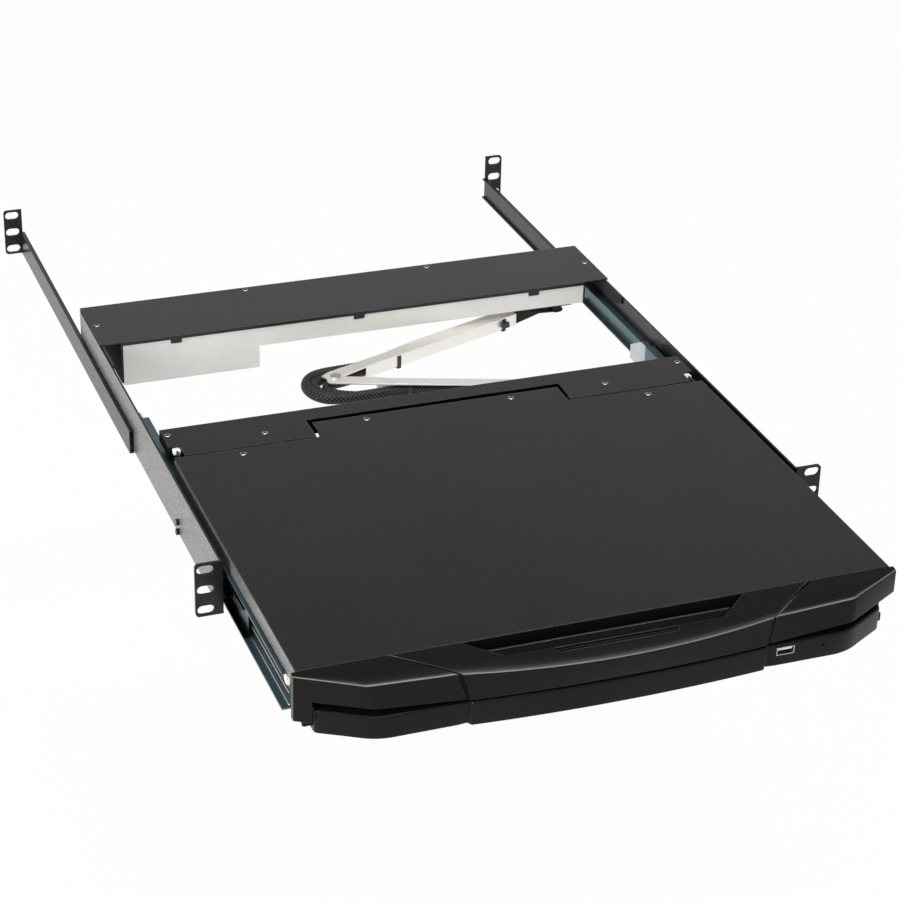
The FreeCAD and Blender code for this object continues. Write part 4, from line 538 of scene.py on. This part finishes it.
def rounded_corner(start, corner, end, count):
    """The quadratic curve from start to end that the corner pulls, count rows of it."""
    s = np.linspace(0, 1, count)[:, None, None]
    return (1 - s) ** 2 * start + 2 * s * (1 - s) * corner + s ** 2 * end


# %% [markdown]
# ## The upper bezel
# The moulding across the lid's front: two wings, a bowed middle with the handle recess, and a
# groove where they meet. Its section changes along its width, so it is a profile carried along
# the front: each column is one section, from the lid's edge over the top, round the front edge,
# down the face, and back up inside. The recess and the finger slot are steps between columns that
# share one place.

# %% Columns of the upper bezel
LID_EDGE_Y = -150.0


def bow(x, half, side_y, middle_y):
    """Y on the circle through (0, middle_y) and (half, side_y)."""
    rise = side_y - middle_y
    radius = (half ** 2 + rise ** 2) / (2 * rise)
    return middle_y + radius - np.sqrt(radius ** 2 - np.minimum(np.abs(x), half) ** 2)


def column_run(start, end, count):
    """Evenly spaced columns between two sections: rear x, front edge x, foot x."""
    return np.linspace(start, end, count)


SLOT_SHARE = 0.571      # the finger slot's end, as a share of the way to the recess's side
recess_side, recess_wall = (103.1, 59.6, 57.0), (104.9, 61.6, 59.0)
slot_end = tuple(SLOT_SHARE * np.array(recess_side))
seam = np.array([(151.4, 110.4, 105.4), (152.3, 111.3, 106.3), (153.1, 112.1, 107.1),
                 (153.9, 112.9, 107.9), (154.8, 113.8, 108.8)])
runs = [
    # places, groove, recess, hollow under the recess, finger slot, solid end
    (column_run((0, 0, 0), slot_end, 8), 0.0, 1, 1, 1, 0),
    (column_run(slot_end, recess_side, 6), 0.0, 1, 1, 0, 0),
    (np.array([recess_side, recess_wall]), 0.0, 0, 1, 0, 0),
    (column_run(recess_wall, seam[0], 9), 0.0, 0, 0, 0, 0),
    (seam[1:2], 0.9, 0, 0, 0, 0), (seam[2:3], 2.2, 0, 0, 0, 0), (seam[3:4], 0.9, 0, 0, 0, 0),
    (column_run(seam[4], (186.0, 171.5, 167.2), 9), 0.0, 0, 0, 0, 0),
    (np.array([(189.0, 174.0, 169.7), (192.0, 176.2, 172.0), (194.6, 178.4, 174.5)]),
     0.0, 0, 0, 0, 0),
    (column_run((198.0, 182.0, 178.5), (206.0, 206.0, 206.0), 5), 0.0, 0, 0, 0, 0),
    (column_run((206.0, 206.0, 206.0), (214.6, 214.6, 214.6), 3), 0.0, 0, 0, 0, 2),
    (np.array([(214.7, 214.7, 214.7), (216.4, 216.2, 216.2), (217.0, 217.0, 217.0)]),
     0.0, 0, 0, 0, 3),
]
half_places = np.concatenate([run[0] for run in runs])
half_marks = np.concatenate([np.tile(np.array(run[1:], float), (len(run[0]), 1)) for run in runs])
x_rear, x_edge, x_foot = mirrored(half_places, -1).T
groove, recess, hollow, slot_mark, end_mark = mirrored(half_marks).T
skirt = (end_mark >= 2) & (x_rear < 0)      # the left end reaches down beside the drawer
print("columns", len(x_rear))

# %% The upper bezel's section
CENTRE_HALF_EDGE, CENTRE_HALF_FOOT, CENTRE_HALF_REAR = 112.0, 107.0, 153.0
TOP_CENTRE_Z, TOP_WING_Z, RECESS_FLOOR_Z, SKIRT_FOOT_Z = 22.0, 21.6, 9.0, -12.5


def front_edge_y(x):
    """Y of the top front edge: bowed in the middle, straight wings, cut back at the ends."""
    wing = np.interp(np.abs(x), (112.0, 175.0, 217.0), (-179.3, -175.0, -155.0))
    return np.where(np.abs(x) < CENTRE_HALF_EDGE, bow(x, CENTRE_HALF_EDGE, -180.0, -190.5), wing)


def front_foot_y(x):
    """Y of the foot of the front face."""
    wing = np.interp(np.abs(x), (107.0, 170.5, 217.0), (-183.2, -181.5, -155.0))
    return np.where(np.abs(x) < CENTRE_HALF_FOOT, bow(x, CENTRE_HALF_FOOT, -184.0, -188.5), wing)


is_centre = np.abs(x_rear) < CENTRE_HALF_REAR
edge_y = front_edge_y(x_edge) + groove
foot_y = front_foot_y(x_foot) + groove
foot_z = np.where(is_centre, -1.0, np.interp(np.abs(x_foot), (107.0, 170.5), (-0.6, 3.5)))
foot_z = np.where(skirt, SKIRT_FOOT_Z, foot_z)
rear_z = np.where(is_centre, TOP_CENTRE_Z, TOP_WING_Z) - 0.8 * groove
reach = LID_EDGE_Y - edge_y
fall = np.where(is_centre, 0.16, 0.15) * reach


def on_top(t, sink=0.0):
    """Points of the top a share t of the way forward; it falls gently at first, then rolls over."""
    t = np.broadcast_to(t, x_rear.shape)
    return np.stack([x_rear + (x_edge - x_rear) * t, LID_EDGE_Y - reach * t,
                     rear_z - fall * (0.5 * t + 0.5 * t ** 3) - sink], -1)


def at_distance(distance):
    """The share of the way forward that lies a distance in front of the lid, less where it is short."""
    return distance / np.maximum(reach, 36.5)


def toward_rear(points, step):
    """Points moved back by step towards the lid along their own column, at the same height."""
    back = np.stack([x_rear, np.full_like(x_rear, LID_EDGE_Y), points[:, 2]], -1) - points
    return points + back * (step / np.linalg.norm(back, axis=1))[:, None]


EDGE_ROUND, FOOT_ROUND, WALL, TUB_WALL = 1.4, 0.8, 2.4, 1.6
tub_z = RECESS_FLOOR_Z - TUB_WALL
recess_back, recess_front, flat_end = (at_distance(d) for d in (1.0, 21.0, 27.0))
rows = [on_top(0.0, 0.7), on_top(at_distance(0.5)), on_top(recess_back)]
for share in (recess_back, recess_front):
    rows.append(on_top(share, recess * (on_top(share)[:, 2] - RECESS_FLOOR_Z)))
rows += [on_top(recess_front, recess * 0.5), on_top(at_distance(21.5)),
         # the finger slot: its rim, then its floor from back to front
         on_top(at_distance(22.3)), on_top(at_distance(22.4), slot_mark * 2.0),
         on_top(at_distance(24.4), slot_mark * 1.7), on_top(flat_end)]
roll_start = 1.0 - EDGE_ROUND / reach
rows += [on_top(flat_end + (roll_start - flat_end) * share) for share in (0.25, 0.5, 0.75)]
edge = on_top(1.0)
foot = np.stack([x_foot, foot_y, foot_z], -1)
down = (foot - edge) / np.linalg.norm(foot - edge, axis=1)[:, None]
rows += list(rounded_corner(on_top(roll_start), edge, edge + down * EDGE_ROUND, 6))
rows += list(rounded_corner(foot - down * FOOT_ROUND, foot, toward_rear(foot, FOOT_ROUND), 4))
inner_foot, inner_edge = toward_rear(foot, WALL), toward_rear(edge, WALL)
inner_edge[:, 2] -= WALL
tub = on_top(at_distance(22.8))
tub[:, 2] = tub_z
inner_edge = np.where(hollow[:, None] > 0, tub, inner_edge)
rear_y = np.full_like(x_rear, LID_EDGE_Y)
rear_low = np.stack([x_rear, rear_y, np.where(hollow > 0, tub_z, rear_z - WALL)], -1)
rear_foot = np.stack([x_rear, rear_y, foot_z], -1)
solid = (end_mark == 3)[:, None]
rows += [np.where(solid, rear_foot, inner_foot),
         np.where(solid, (rear_foot + rear_low) / 2, inner_edge), rear_low]
section = np.array(rows)
make_piece("upper_bezel_moulding", section, closed_sections(section), "lid", "bezel_plastic",
           ("upper_bezel",))

# %% [markdown]
# ## The lower bezel
# The drawer's own moulding, set a few millimetres below the upper one so that a dark gap runs
# between them. Its section is an upright wall with shelves above and below; its corners are
# rounded in plan. The openings of the port and of the reset hole are patches of the grid that
# are left out.

# %% The lower bezel's columns and section
LOWER_TOP_WING, LOWER_TOP_CENTRE, LOWER_FLOOR = -3.0, -2.5, -21.0
LOWER_BOW_END, LOWER_WING_Y = 104.6, -181.5
PORT_X, PORT_HALF = 121.0, 6.6
HOLE_X, HOLE_HALF = 150.0, 1.4
bow_x = np.linspace(0, LOWER_BOW_END, 15)
wing_x = (109.0, PORT_X - PORT_HALF, PORT_X, PORT_X + PORT_HALF, 138.0,
          HOLE_X - HOLE_HALF, HOLE_X + HOLE_HALF)
corner = rounded_corner(*(np.array([place]) for place in (
    (157.5, LOWER_WING_Y), (168.5, LOWER_WING_Y), (178.0, -175.9))), 9)[:, 0]
lower_half = np.concatenate([
    np.stack([bow_x, bow(bow_x, CENTRE_HALF_FOOT, -184.0, -188.5)], -1),
    np.array([(105.6, -184.0), (106.6, -183.2), (107.8, -182.4)]),
    np.array([(x, LOWER_WING_Y) for x in wing_x]),
    corner,
    np.array([(190.0, -168.9), (201.8, -162.2), (203.5, -160.9), (204.3, -159.4), (204.5, -157.8)]),
])
SEAM_DEPTHS = (0.7, 1.9, 1.6, 0.5)      # just outside the bow
seam_inset = np.zeros(len(lower_half))
seam_inset[len(bow_x):len(bow_x) + len(SEAM_DEPTHS)] = SEAM_DEPTHS
rear_half = np.interp(lower_half[:, 0], (0.0, 157.5, 201.8, 204.5), (0.0, 157.5, 204.3, 204.5))
low_x, low_y = mirrored(lower_half[:, 0], -1), mirrored(lower_half[:, 1] + seam_inset)
low_rear, low_inset = mirrored(rear_half, -1), mirrored(seam_inset)
low_top = np.where(np.abs(low_x) < CENTRE_HALF_FOOT, LOWER_TOP_CENTRE, LOWER_TOP_WING) - 0.6 * low_inset


def low_point(z, back=0.0):
    """The front at height z, leaning back a little going down, moved back by a distance."""
    lean = 0.6 * (low_top - z) / (low_top - LOWER_FLOOR)
    front = np.stack([low_x, low_y + lean, np.broadcast_to(z, low_x.shape)], -1)
    rear = np.stack([low_rear, np.full_like(low_x, LID_EDGE_Y), front[:, 2]], -1)
    away = rear - front
    return front + away * (back / np.linalg.norm(away, axis=1))[:, None]


def low_rear_point(z):
    """The same column where it meets the tray's front."""
    return np.stack([low_rear, np.full_like(low_x, LID_EDGE_Y), np.broadcast_to(z, low_x.shape)], -1)


LIP, SOLE, SHELF = 2.6, 1.4, 2.2
OPENING_ZS = (-6.1, -9.0, -11.9)
rows = [low_rear_point(low_top)]
rows += list(rounded_corner(low_point(low_top, LIP), low_point(low_top),
                            low_point(low_top - LIP * 0.9), 7))
first_row = len(rows)       # of the openings
rows += [low_point(z) for z in OPENING_ZS]
rows += list(rounded_corner(low_point(LOWER_FLOOR + SOLE), low_point(LOWER_FLOOR),
                            low_point(LOWER_FLOOR, SOLE), 5))
rows += [low_rear_point(LOWER_FLOOR), low_rear_point(LOWER_FLOOR + SHELF),
         low_point(LOWER_FLOOR + SHELF, SHELF), low_point(low_top - SHELF, SHELF),
         low_rear_point(low_top - SHELF)]
section = np.array(rows)
count_rows, count_columns = section.shape[:2]
i, j, quads = grid_faces(count_rows, count_columns, close_rows=True)
middle_x = (low_x[j] + low_x[(j + 1) % count_columns]) / 2
inner_wall = i == count_rows - 3
port_rows = ((i >= first_row) & (i < first_row + 2)) | inner_wall
hole_rows = (i == first_row + 1) | inner_wall
at_port = (np.abs(middle_x - PORT_X) < PORT_HALF) & port_rows
at_hole = (np.abs(middle_x - HOLE_X) < HOLE_HALF) & hole_rows
faces = quads[~(at_port | at_hole)].tolist() + end_caps(count_rows, count_columns)
make_piece("lower_bezel_moulding", section, faces, "drawer", "bezel_plastic", ("lower_bezel",),
           finish=bezel_lower)


# %% Small turned and rounded parts
def turned(profile, centre, axis, turns=32):
    """Points of a profile of (radius, height) turned round an axis through the centre."""
    angle = np.linspace(0, 2 * np.pi, turns, endpoint=False)
    axis = np.array(axis, float)
    side = np.cross(axis, (0.3, 0.2, 1.0) if abs(axis[2]) < 0.9 else (1.0, 0, 0))
    side /= np.linalg.norm(side)
    other = np.cross(axis, side)
    radius, height = np.asarray(profile, float).T
    spokes = np.cos(angle)[:, None] * side + np.sin(angle)[:, None] * other
    return np.array(centre) + radius[:, None, None] * spokes + height[:, None, None] * axis


def rounded_block(centre, half, power=0.35, count=24):
    """A block with soft edges: a sphere's sines and cosines raised to a small power."""
    across = np.linspace(-np.pi / 2, np.pi / 2, count // 2 + 1)[:, None]
    around = np.linspace(0, 2 * np.pi, count, endpoint=False)[None, :]
    soft = lambda v: np.sign(v) * np.abs(v) ** power
    unit = np.stack([soft(np.cos(across)) * soft(np.cos(around)),
                     soft(np.cos(across)) * soft(np.sin(around)),
                     soft(np.sin(across)) * np.ones_like(around)], -1)
    return np.array(centre) + unit * np.array(half)


# A profile is (radius, height), with the height measured outwards.
PINHOLE_RIM = [(0.0, -3.0), (0.7, -3.0), (0.8, -0.6), (1.1, 0.15), (2.3, 0.2), (2.6, 0.0),
               (2.6, -0.8), (1.2, -0.9), (1.1, -3.4), (0.0, -3.4)]
FOOT_AT, FOOT_HALF = (207.2, -151.2, -16.5), (3.2, 1.6, 3.5)
pinhole = turned(PINHOLE_RIM, (HOLE_X, -181.35, -10.4), (0, -1, 0))
make_piece("reset_hole_rim", pinhole, closed_turn(pinhole), "drawer", "bezel_plastic",
           finish=bezel_lower)
for side, word in SIDES:
    foot_block = rounded_block(on_side(side, FOOT_AT), FOOT_HALF)
    make_piece("bezel_foot_" + word, foot_block, closed_turn(foot_block), "drawer",
               "bezel_plastic", finish=bezel_lower)

# %% [markdown]
# ## Screw heads
# The covers' screws have low nickel heads with a cross recess. A head is a grid of rings and
# spokes; its height is a shallow dome less a round socket with a cross in it, and the shank
# goes on below. The socket's faces take the black finish, a painted shade in the recess.

# %% Screws
SHEET_TOP = 22.0
THREAD_PITCH, THREAD_R, THREAD_RISE = 0.5, 1.35, 0.12
CROSS_HALF, CROSS_REACH, CROSS_DEPTH = 0.38, 1.35, 0.4
SOCKET_SHADE_R, SOCKET_DEPTH = 1.55, 0.55


def screw(x, y):
    """One screw: a dome with a cross pressed into it, then rim, underside and threaded shank."""
    radius = np.array([0.0, 0.25, 0.5, 0.75, 1.0, 1.2, 1.4, 1.7, 2.0, 2.25, 2.4, 2.4, 1.45])
    height = np.array([0.42, 0.42, 0.42, 0.42, 0.41, 0.40, 0.39, 0.36, 0.31, 0.22, 0.12, 0.02, 0.0])
    thread = np.linspace(-0.1, -3.6, 15)
    shank = THREAD_R + THREAD_RISE * np.cos(thread * 2 * np.pi / THREAD_PITCH)
    radius = np.append(radius, np.append(shank, 0.0))
    height = np.append(height, np.append(thread, -4.0))
    grid = turned(np.stack([radius, height], -1), (x, y, SHEET_TOP), (0, 0, 1), 40)
    local = np.abs(grid[:, :, :2] - (x, y))
    cross = np.exp(-(local.min(-1) / CROSS_HALF) ** 4) * (local.max(-1) < CROSS_REACH)
    socket = np.array([1.0, 1.0, 1.0, 1.0, 1.0, 1.0, 0.9, 0.0])[:, None]
    grid[:8, :, 2] -= SOCKET_DEPTH * socket + CROSS_DEPTH * cross[:8] * socket
    return grid


SCREWS = {
    "lid_screws": ("lid", [(side * x, y) for side, _ in SIDES
                           for x, y in ((163.8, 144.5), (59.0, 170.5))]),
    "cover_screws": ("drawer", [(side * x, y) for side, _ in SIDES
                                for x, y in ((209.6, 190.0), (139.0, 172.0))]),
    "box_screws": ("frame", [(-215.5, 395.0), (215.5, 395.0), (-81.0, 427.0), (81.0, 427.0)]),
}
for name, (body, spots) in SCREWS.items():
    grids = [screw(x, y) for x, y in spots]
    faces, start = [], 0
    for grid in grids:
        faces += [[v + start for v in face] for face in closed_turn(grid)]
        start += grid.shape[0] * grid.shape[1]
    points = np.concatenate([g.reshape(-1, 3) for g in grids])
    heads = make_piece(name + "_heads", points, faces, body, "screw_steel", (name,))
    middle = face_centres(heads)
    away = np.min([np.hypot(middle[:, 0] - x, middle[:, 1] - y) for x, y in spots], axis=0)
    # Painted shade: the faces inside the socket get the black finish.
    second_finish(heads, powder_black, (away < SOCKET_SHADE_R) & (middle[:, 2] > SHEET_TOP - 1.0))

# %% [markdown]
# ## Rolled ribs on the slides
# A drawer slide is stiffened by ribs that are rolled along it. They are a profile of heights
# carried straight back along the web: three narrow ribs whose crests are painted light, a painted highlight,
# on a web painted dark, a painted shade.

# %% Ribs of the drawer members
WEB_X, WEB_ZS = 210.6, (-19.5, 5.2)
SHEET_PROUD, SHEET_SUNK = 0.12, 0.3     # front and back of the ribbed sheet, from the web
RIB_RISE, CREST_FROM = 1.15, 0.6
RIB_YS, RIB_NOSE = (-127.4, 249.4), 2.2     # the nose is the rounded run at each end
RIBS = ((-18.6, 0.55), (-9.0, 0.4), (-2.6, 0.4))     # middle height and half width of each


def rib_height(z):
    """Height of the rolled profile: three narrow ribs, each a smoothed step up and a step down."""
    step = lambda edge: 0.5 + 0.5 * np.tanh((z - edge) / 0.15)
    return sum(step(middle - half) - step(middle + half) for middle, half in RIBS)


z = np.linspace(*WEB_ZS, 150)
along = np.array([0.0, 0.3, 1.0, RIB_NOSE])
nose = np.sqrt(np.clip(1 - (1 - np.minimum(along / RIB_NOSE, 1)) ** 2, 0, 1))
ys = np.concatenate([RIB_YS[0] + along, np.linspace(RIB_YS[0] + 8, RIB_YS[1] - 8, 8),
                     RIB_YS[1] - along[::-1]])
lift = np.concatenate([nose, np.ones(8), nose[::-1]])
for side, word in SIDES:
    outer_x = side * (WEB_X + SHEET_PROUD + RIB_RISE * rib_height(z)[:, None] * lift)
    outer = np.stack([outer_x, ys + 0 * z[:, None], z[:, None] + 0 * ys], -1)
    back = outer[::-1].copy()
    back[..., 0] = side * (WEB_X - SHEET_SUNK)
    grid = np.concatenate([outer, back])
    ribs = make_piece("slide_ribs_" + word, grid, closed_sections(grid), "drawer", "slide_zinc",
                      finish=slide_shade)
    # Painted highlight: the ribs' crests get the light zinc finish.
    second_finish(ribs, zinc_plate, np.abs(face_centres(ribs)[:, 0]) > WEB_X + CREST_FROM)

# %% [markdown]
# ## Grained paint and painted reflection on the upright sides
# The paint on the sheet's upright sides is rougher than on its tops, and shows a coarse grain whose
# flecks are painted light grey, a painted reflection of the bright studio on the black paint.
# It is a skin about a tenth of a millimetre thick, a slightly domed grid laid on each side.

# %% Skins on the lid's sides and the front brackets
SKIN_PROUD, SKIN_SUNK, SKIN_SWELL = 0.02, 0.05, 0.1
SKINS = {
    # x of the side, its run in Y and in Z, body, slot
    "lid_side_paint_": (214.0, (-149.0, 152.6), (8.9, 21.2), "lid", "cover_black"),
    "bracket_paint_": (221.4, (2.4, 431.5), (-20.1, 19.1), "frame", "bracket_black"),
}


def skin(x, side, ys, zs):
    """A thin closed plate at x, its outer face domed by the product of two half waves."""
    y, z = np.meshgrid(np.linspace(*ys, 60), np.linspace(*zs, 9))
    waves = [np.sin(np.pi * (v - run[0]) / (run[1] - run[0])) for v, run in ((y, ys), (z, zs))]
    dome = SKIN_SWELL * (waves[0] * waves[1]) ** 0.25
    outer = np.stack([side * (x + SKIN_PROUD + dome), y, z], -1)
    inner = np.stack([side * (x - SKIN_SUNK) + 0 * y, y, z], -1)[::-1]
    return np.concatenate([outer, inner])


for side, word in SIDES:
    for name, (x, ys, zs, body, slot) in SKINS.items():
        grid = skin(x, side, ys, zs)
        make_piece(name + word, grid, closed_sections(grid), body, slot, finish=grain_and_painted_reflection)

# %% Bumpers, and the pale blocks in the rear cover's corners
BUMPER_PROFILE = [(0.0, 0.0), (4.2, 0.0), (4.5, 0.3), (4.5, 0.8), (4.2, 1.1), (3.6, 1.2),
                  (3.5, 1.5), (3.7, 1.8), (3.2, 2.2), (1.6, 2.4), (0.0, 2.45)]
BUMPER_AT = (210.7, -124.4, 0.2)
STOP_AT, STOP_HALF = (208.2, 168.4, 19.0), (3.0, 3.0, 1.9)
for side, word in SIDES:
    bumper = turned(BUMPER_PROFILE, on_side(side, BUMPER_AT), (side, 0, 0), 36)
    make_piece("slide_bumper_" + word, bumper, closed_turn(bumper), "drawer", "bumper_cream",
               ("slide_bumpers",) if side < 0 else ())
    block = rounded_block(on_side(side, STOP_AT), STOP_HALF)
    make_piece("corner_stop_" + word, block, closed_turn(block), "drawer", "bumper_cream",
               finish=nylon_white)

# %% [markdown]
# ## The braided cable
# A sleeve of crossing strands holds the cable together. It follows the arm: from the housing to
# the arm, along the rear link, round the elbow and along the front link. That is four pieces, and
# two thinner leads go round inside the elbow.
# Each follows a NURBS line through given points. The strands stand up from the surface as
# the product of two waves that cross.

# %% Places on the arm
ELBOW = (-45.077, 290.0)
LINK_ANGLES = {1: math.radians(20.761), -1: math.radians(-18.661)}
CABLE_Z, LEAD_Z = -8.4, -8.8
CABLE_R, LEAD_R = 4.7, 4.2


def on_link(x, y, side, z=CABLE_Z):
    """A point beside a link: x along it from the elbow, y out from its own line, in millimetres."""
    a = LINK_ANGLES[side]
    return (ELBOW[0] + x * math.cos(a) - side * y * math.sin(a),
            ELBOW[1] + x * math.sin(a) + side * y * math.cos(a), z)


def round_elbow(x, y, z=CABLE_Z):
    """A point by its offset from the elbow."""
    return (ELBOW[0] + x, ELBOW[1] + y, z)


REAR_ROUTE = [on_link(x, y, 1) for x, y in (
    (13.7, 20.9), (30.0, 15.9), (48, 10.0), (66, 8.0), (116, 8.0),
    (142, 13.2), (166, 16.9), (190, 15.4), (208, 12.4))]
FRONT_ROUTE = [on_link(x, y, -1) for x, y in (
    (13.7, 20.9), (30.0, 15.9), (45, 9.4), (62, 8.2), (106, 8.2),
    (134, 10.4), (158, 17.6), (184, 18.3), (212, 17.6))]
LOOP_ROUTE = [on_link(13.7, 20.9, 1)] + [round_elbow(x, y) for x, y in (
    (-8.5, 24.0), (-20.0, 15.0), (-24.6, 0.5), (-20.5, -14.5), (-9.5, -23.8))]
LOOP_ROUTE += [on_link(13.7, 20.9, -1)]
LEAD_ROUTE = [on_link(x, y, 1, LEAD_Z) for x, y in (
    (64, 8.2), (46, 7.4), (30, 7.2), (18, 8.6))]
LEAD_ROUTE += [round_elbow(x, y, LEAD_Z) for x, y in (
    (-1.0, 14.9), (-13.0, 12.4), (-18.2, 1.5), (-15.4, -10.5), (-6.5, -19.3), (6.0, -22.6))]
SECOND_LEAD_ROUTE = [on_link(x, y, 1, LEAD_Z) for x, y in ((28.0, 6.0), (20.0, 1.5))]
SECOND_LEAD_ROUTE += [round_elbow(x, y, LEAD_Z) for x, y in (
    (4.5, 4.5), (-5.5, 3.5), (-9.0, -4.0), (-6.5, -12.5), (0.0, -18.5), (9.0, -22.0))]
BOX_ROUTE = [on_link(208, 12.4, 1), on_link(222, 10.1, 1),
             (175.0, 392.0, CABLE_Z), (175.0, 407.0, CABLE_Z)]


# %% A line through the points, and a sleeve round the line
def smooth_line(route, resolution=40):
    """Points read from the NURBS spline of a route, in millimetres."""
    curve = bpy.data.curves.new("cable_route", "CURVE")
    curve.dimensions = "3D"
    curve.resolution_u = resolution
    spline = curve.splines.new("NURBS")
    spline.points.add(len(route) - 1)
    weighted = np.append(np.array(route) * MM, np.ones((len(route), 1)), axis=1)
    spline.points.foreach_set("co", weighted.ravel())
    spline.order_u = 3
    spline.use_endpoint_u = True
    holder = bpy.data.objects.new("cable_route", curve)
    mesh = bpy.data.meshes.new_from_object(holder)
    points = np.empty(len(mesh.vertices) * 3)
    mesh.vertices.foreach_get("co", points)
    bpy.data.objects.remove(holder)
    bpy.data.curves.remove(curve)
    bpy.data.meshes.remove(mesh)
    return points.reshape(-1, 3) / MM


STRAND_PITCH = 3.2     # along the sleeve, one full weave


def sleeve(name, route, radius, body, replaced=(), relief=0.30, step=0.45, around=40):
    """A tube of rings round a line, every ring upright; its radius rises where two strands cross."""
    line = smooth_line(route)
    steps = np.linalg.norm(np.diff(line, axis=0), axis=1)
    run = np.append(0.0, np.cumsum(steps))
    places = np.linspace(0.0, run[-1], int(run[-1] / step))
    centre = np.stack([np.interp(places, run, line[:, k]) for k in range(3)], -1)
    ahead = np.gradient(centre, axis=0)
    kernel = np.ones(9) / 9
    ahead = np.stack([np.convolve(np.pad(ahead[:, k], 4, mode="edge"), kernel, "valid")
                      for k in range(3)], -1)
    ahead /= np.linalg.norm(ahead, axis=1)[:, None]
    side = np.cross(ahead, (0, 0, 1.0))
    side /= np.linalg.norm(side, axis=1)[:, None]
    up = np.cross(side, ahead)
    turns = round(2 * np.pi * radius / STRAND_PITCH)
    u = places / STRAND_PITCH
    v = np.linspace(0, turns, around, endpoint=False)
    weave = np.sin(np.pi * (u[:, None] + v)) * np.sin(np.pi * (u[:, None] - v))
    swell = radius - relief + relief * np.abs(weave)
    angle = 2 * np.pi * v / turns
    spokes = np.cos(angle)[:, None] * side[:, None] + np.sin(angle)[:, None] * up[:, None]
    grid = centre[:, None] + swell[..., None] * spokes
    obj = new_mesh_object(name, grid.reshape(-1, 3) * MM, closed_turn(grid))
    i, j, _ = grid_faces(len(places), around, close_columns=True)
    wide = np.append(v, turns)
    corner_u = np.stack([u[i], u[i], u[i + 1], u[i + 1]], -1)
    corner_v = np.stack([wide[j], wide[j + 1], wide[j + 1], wide[j]], -1)
    uv = np.stack([corner_u, corner_v], -1).reshape(-1, 2)
    uv = np.concatenate([uv, np.zeros((2 * around, 2))])       # the two ends stay blank
    layer = obj.data.uv_layers.new(name="weave")
    layer.data.foreach_set("uv", uv.ravel())
    clean(obj, merge=False)
    print(name, "length", round(run[-1], 1), "mm")
    return dress(obj, body, "cable_braid", replaced, braid_sleeve)


# %% The sleeve's finish
def weave_material(name, gap, strand, shine):
    """Two crossing sets of strands, read from the piece's own UV map: painted shade between them, a painted
    grey highlight on top.
    """
    material, tree, shader = blank_material(name)
    shader.inputs["Specular IOR Level"].default_value = 0.25
    uv = tree.nodes.new("ShaderNodeUVMap")
    uv.uv_map = "weave"
    u, v = (axis_of(tree, uv.outputs["UV"], axis) for axis in "XY")
    waves = []
    for operation in ("ADD", "SUBTRACT"):
        phase = calculated(tree, "MULTIPLY", calculated(tree, operation, u, v), math.pi)
        waves.append(calculated(tree, "SINE", phase))
    weave = calculated(tree, "ABSOLUTE", calculated(tree, "MULTIPLY", *waves))
    patchy = ramp_between(tree, grain(tree, 7.0, 3.0), 0.55, 1.0)
    # Painted highlight and shade: the strands' tops are lighter, the gaps between them darker.
    lit = calculated(tree, "MULTIPLY", calculated(tree, "POWER", weave, 2.2), patchy)
    colour = mix_colours(tree, lit, gap, strand, span=(0.15, 0.95))
    tree.links.new(colour, shader.inputs["Base Color"])
    fine = grain(tree, 0.25, 2.0)
    tree.links.new(ramp_between(tree, fine, *shine), shader.inputs["Roughness"])
    bump = tree.nodes.new("ShaderNodeBump")
    bump.inputs["Distance"].default_value = 0.00015
    relief = calculated(tree, "ADD", weave, calculated(tree, "MULTIPLY", fine, 0.3))
    tree.links.new(relief, bump.inputs["Height"])
    tree.links.new(bump.outputs["Normal"], shader.inputs["Normal"])
    return material


braid_sleeve = weave_material("braid_sleeve", (0.004, 0.004, 0.004), (0.12, 0.115, 0.105),
                              (0.42, 0.58))

# %% The cable and its leads
sleeve("cable_on_rear_link", REAR_ROUTE, CABLE_R, "arm_rear", ("cable_rear_run",))
sleeve("cable_on_front_link", FRONT_ROUTE, CABLE_R, "arm_front", ("cable_front_run",))
loop = sleeve("cable_round_elbow", LOOP_ROUTE, CABLE_R, None, ("cable_elbow_loop",))
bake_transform(loop)
lead = sleeve("lead_round_elbow", LEAD_ROUTE, LEAD_R, None, relief=0.2)
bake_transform(lead)
inner_lead = sleeve("second_lead_round_elbow", SECOND_LEAD_ROUTE, LEAD_R, None, relief=0.2)
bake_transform(inner_lead)
entry = sleeve("cable_into_housing", BOX_ROUTE, CABLE_R, None, ("cable_box_run",))
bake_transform(entry)
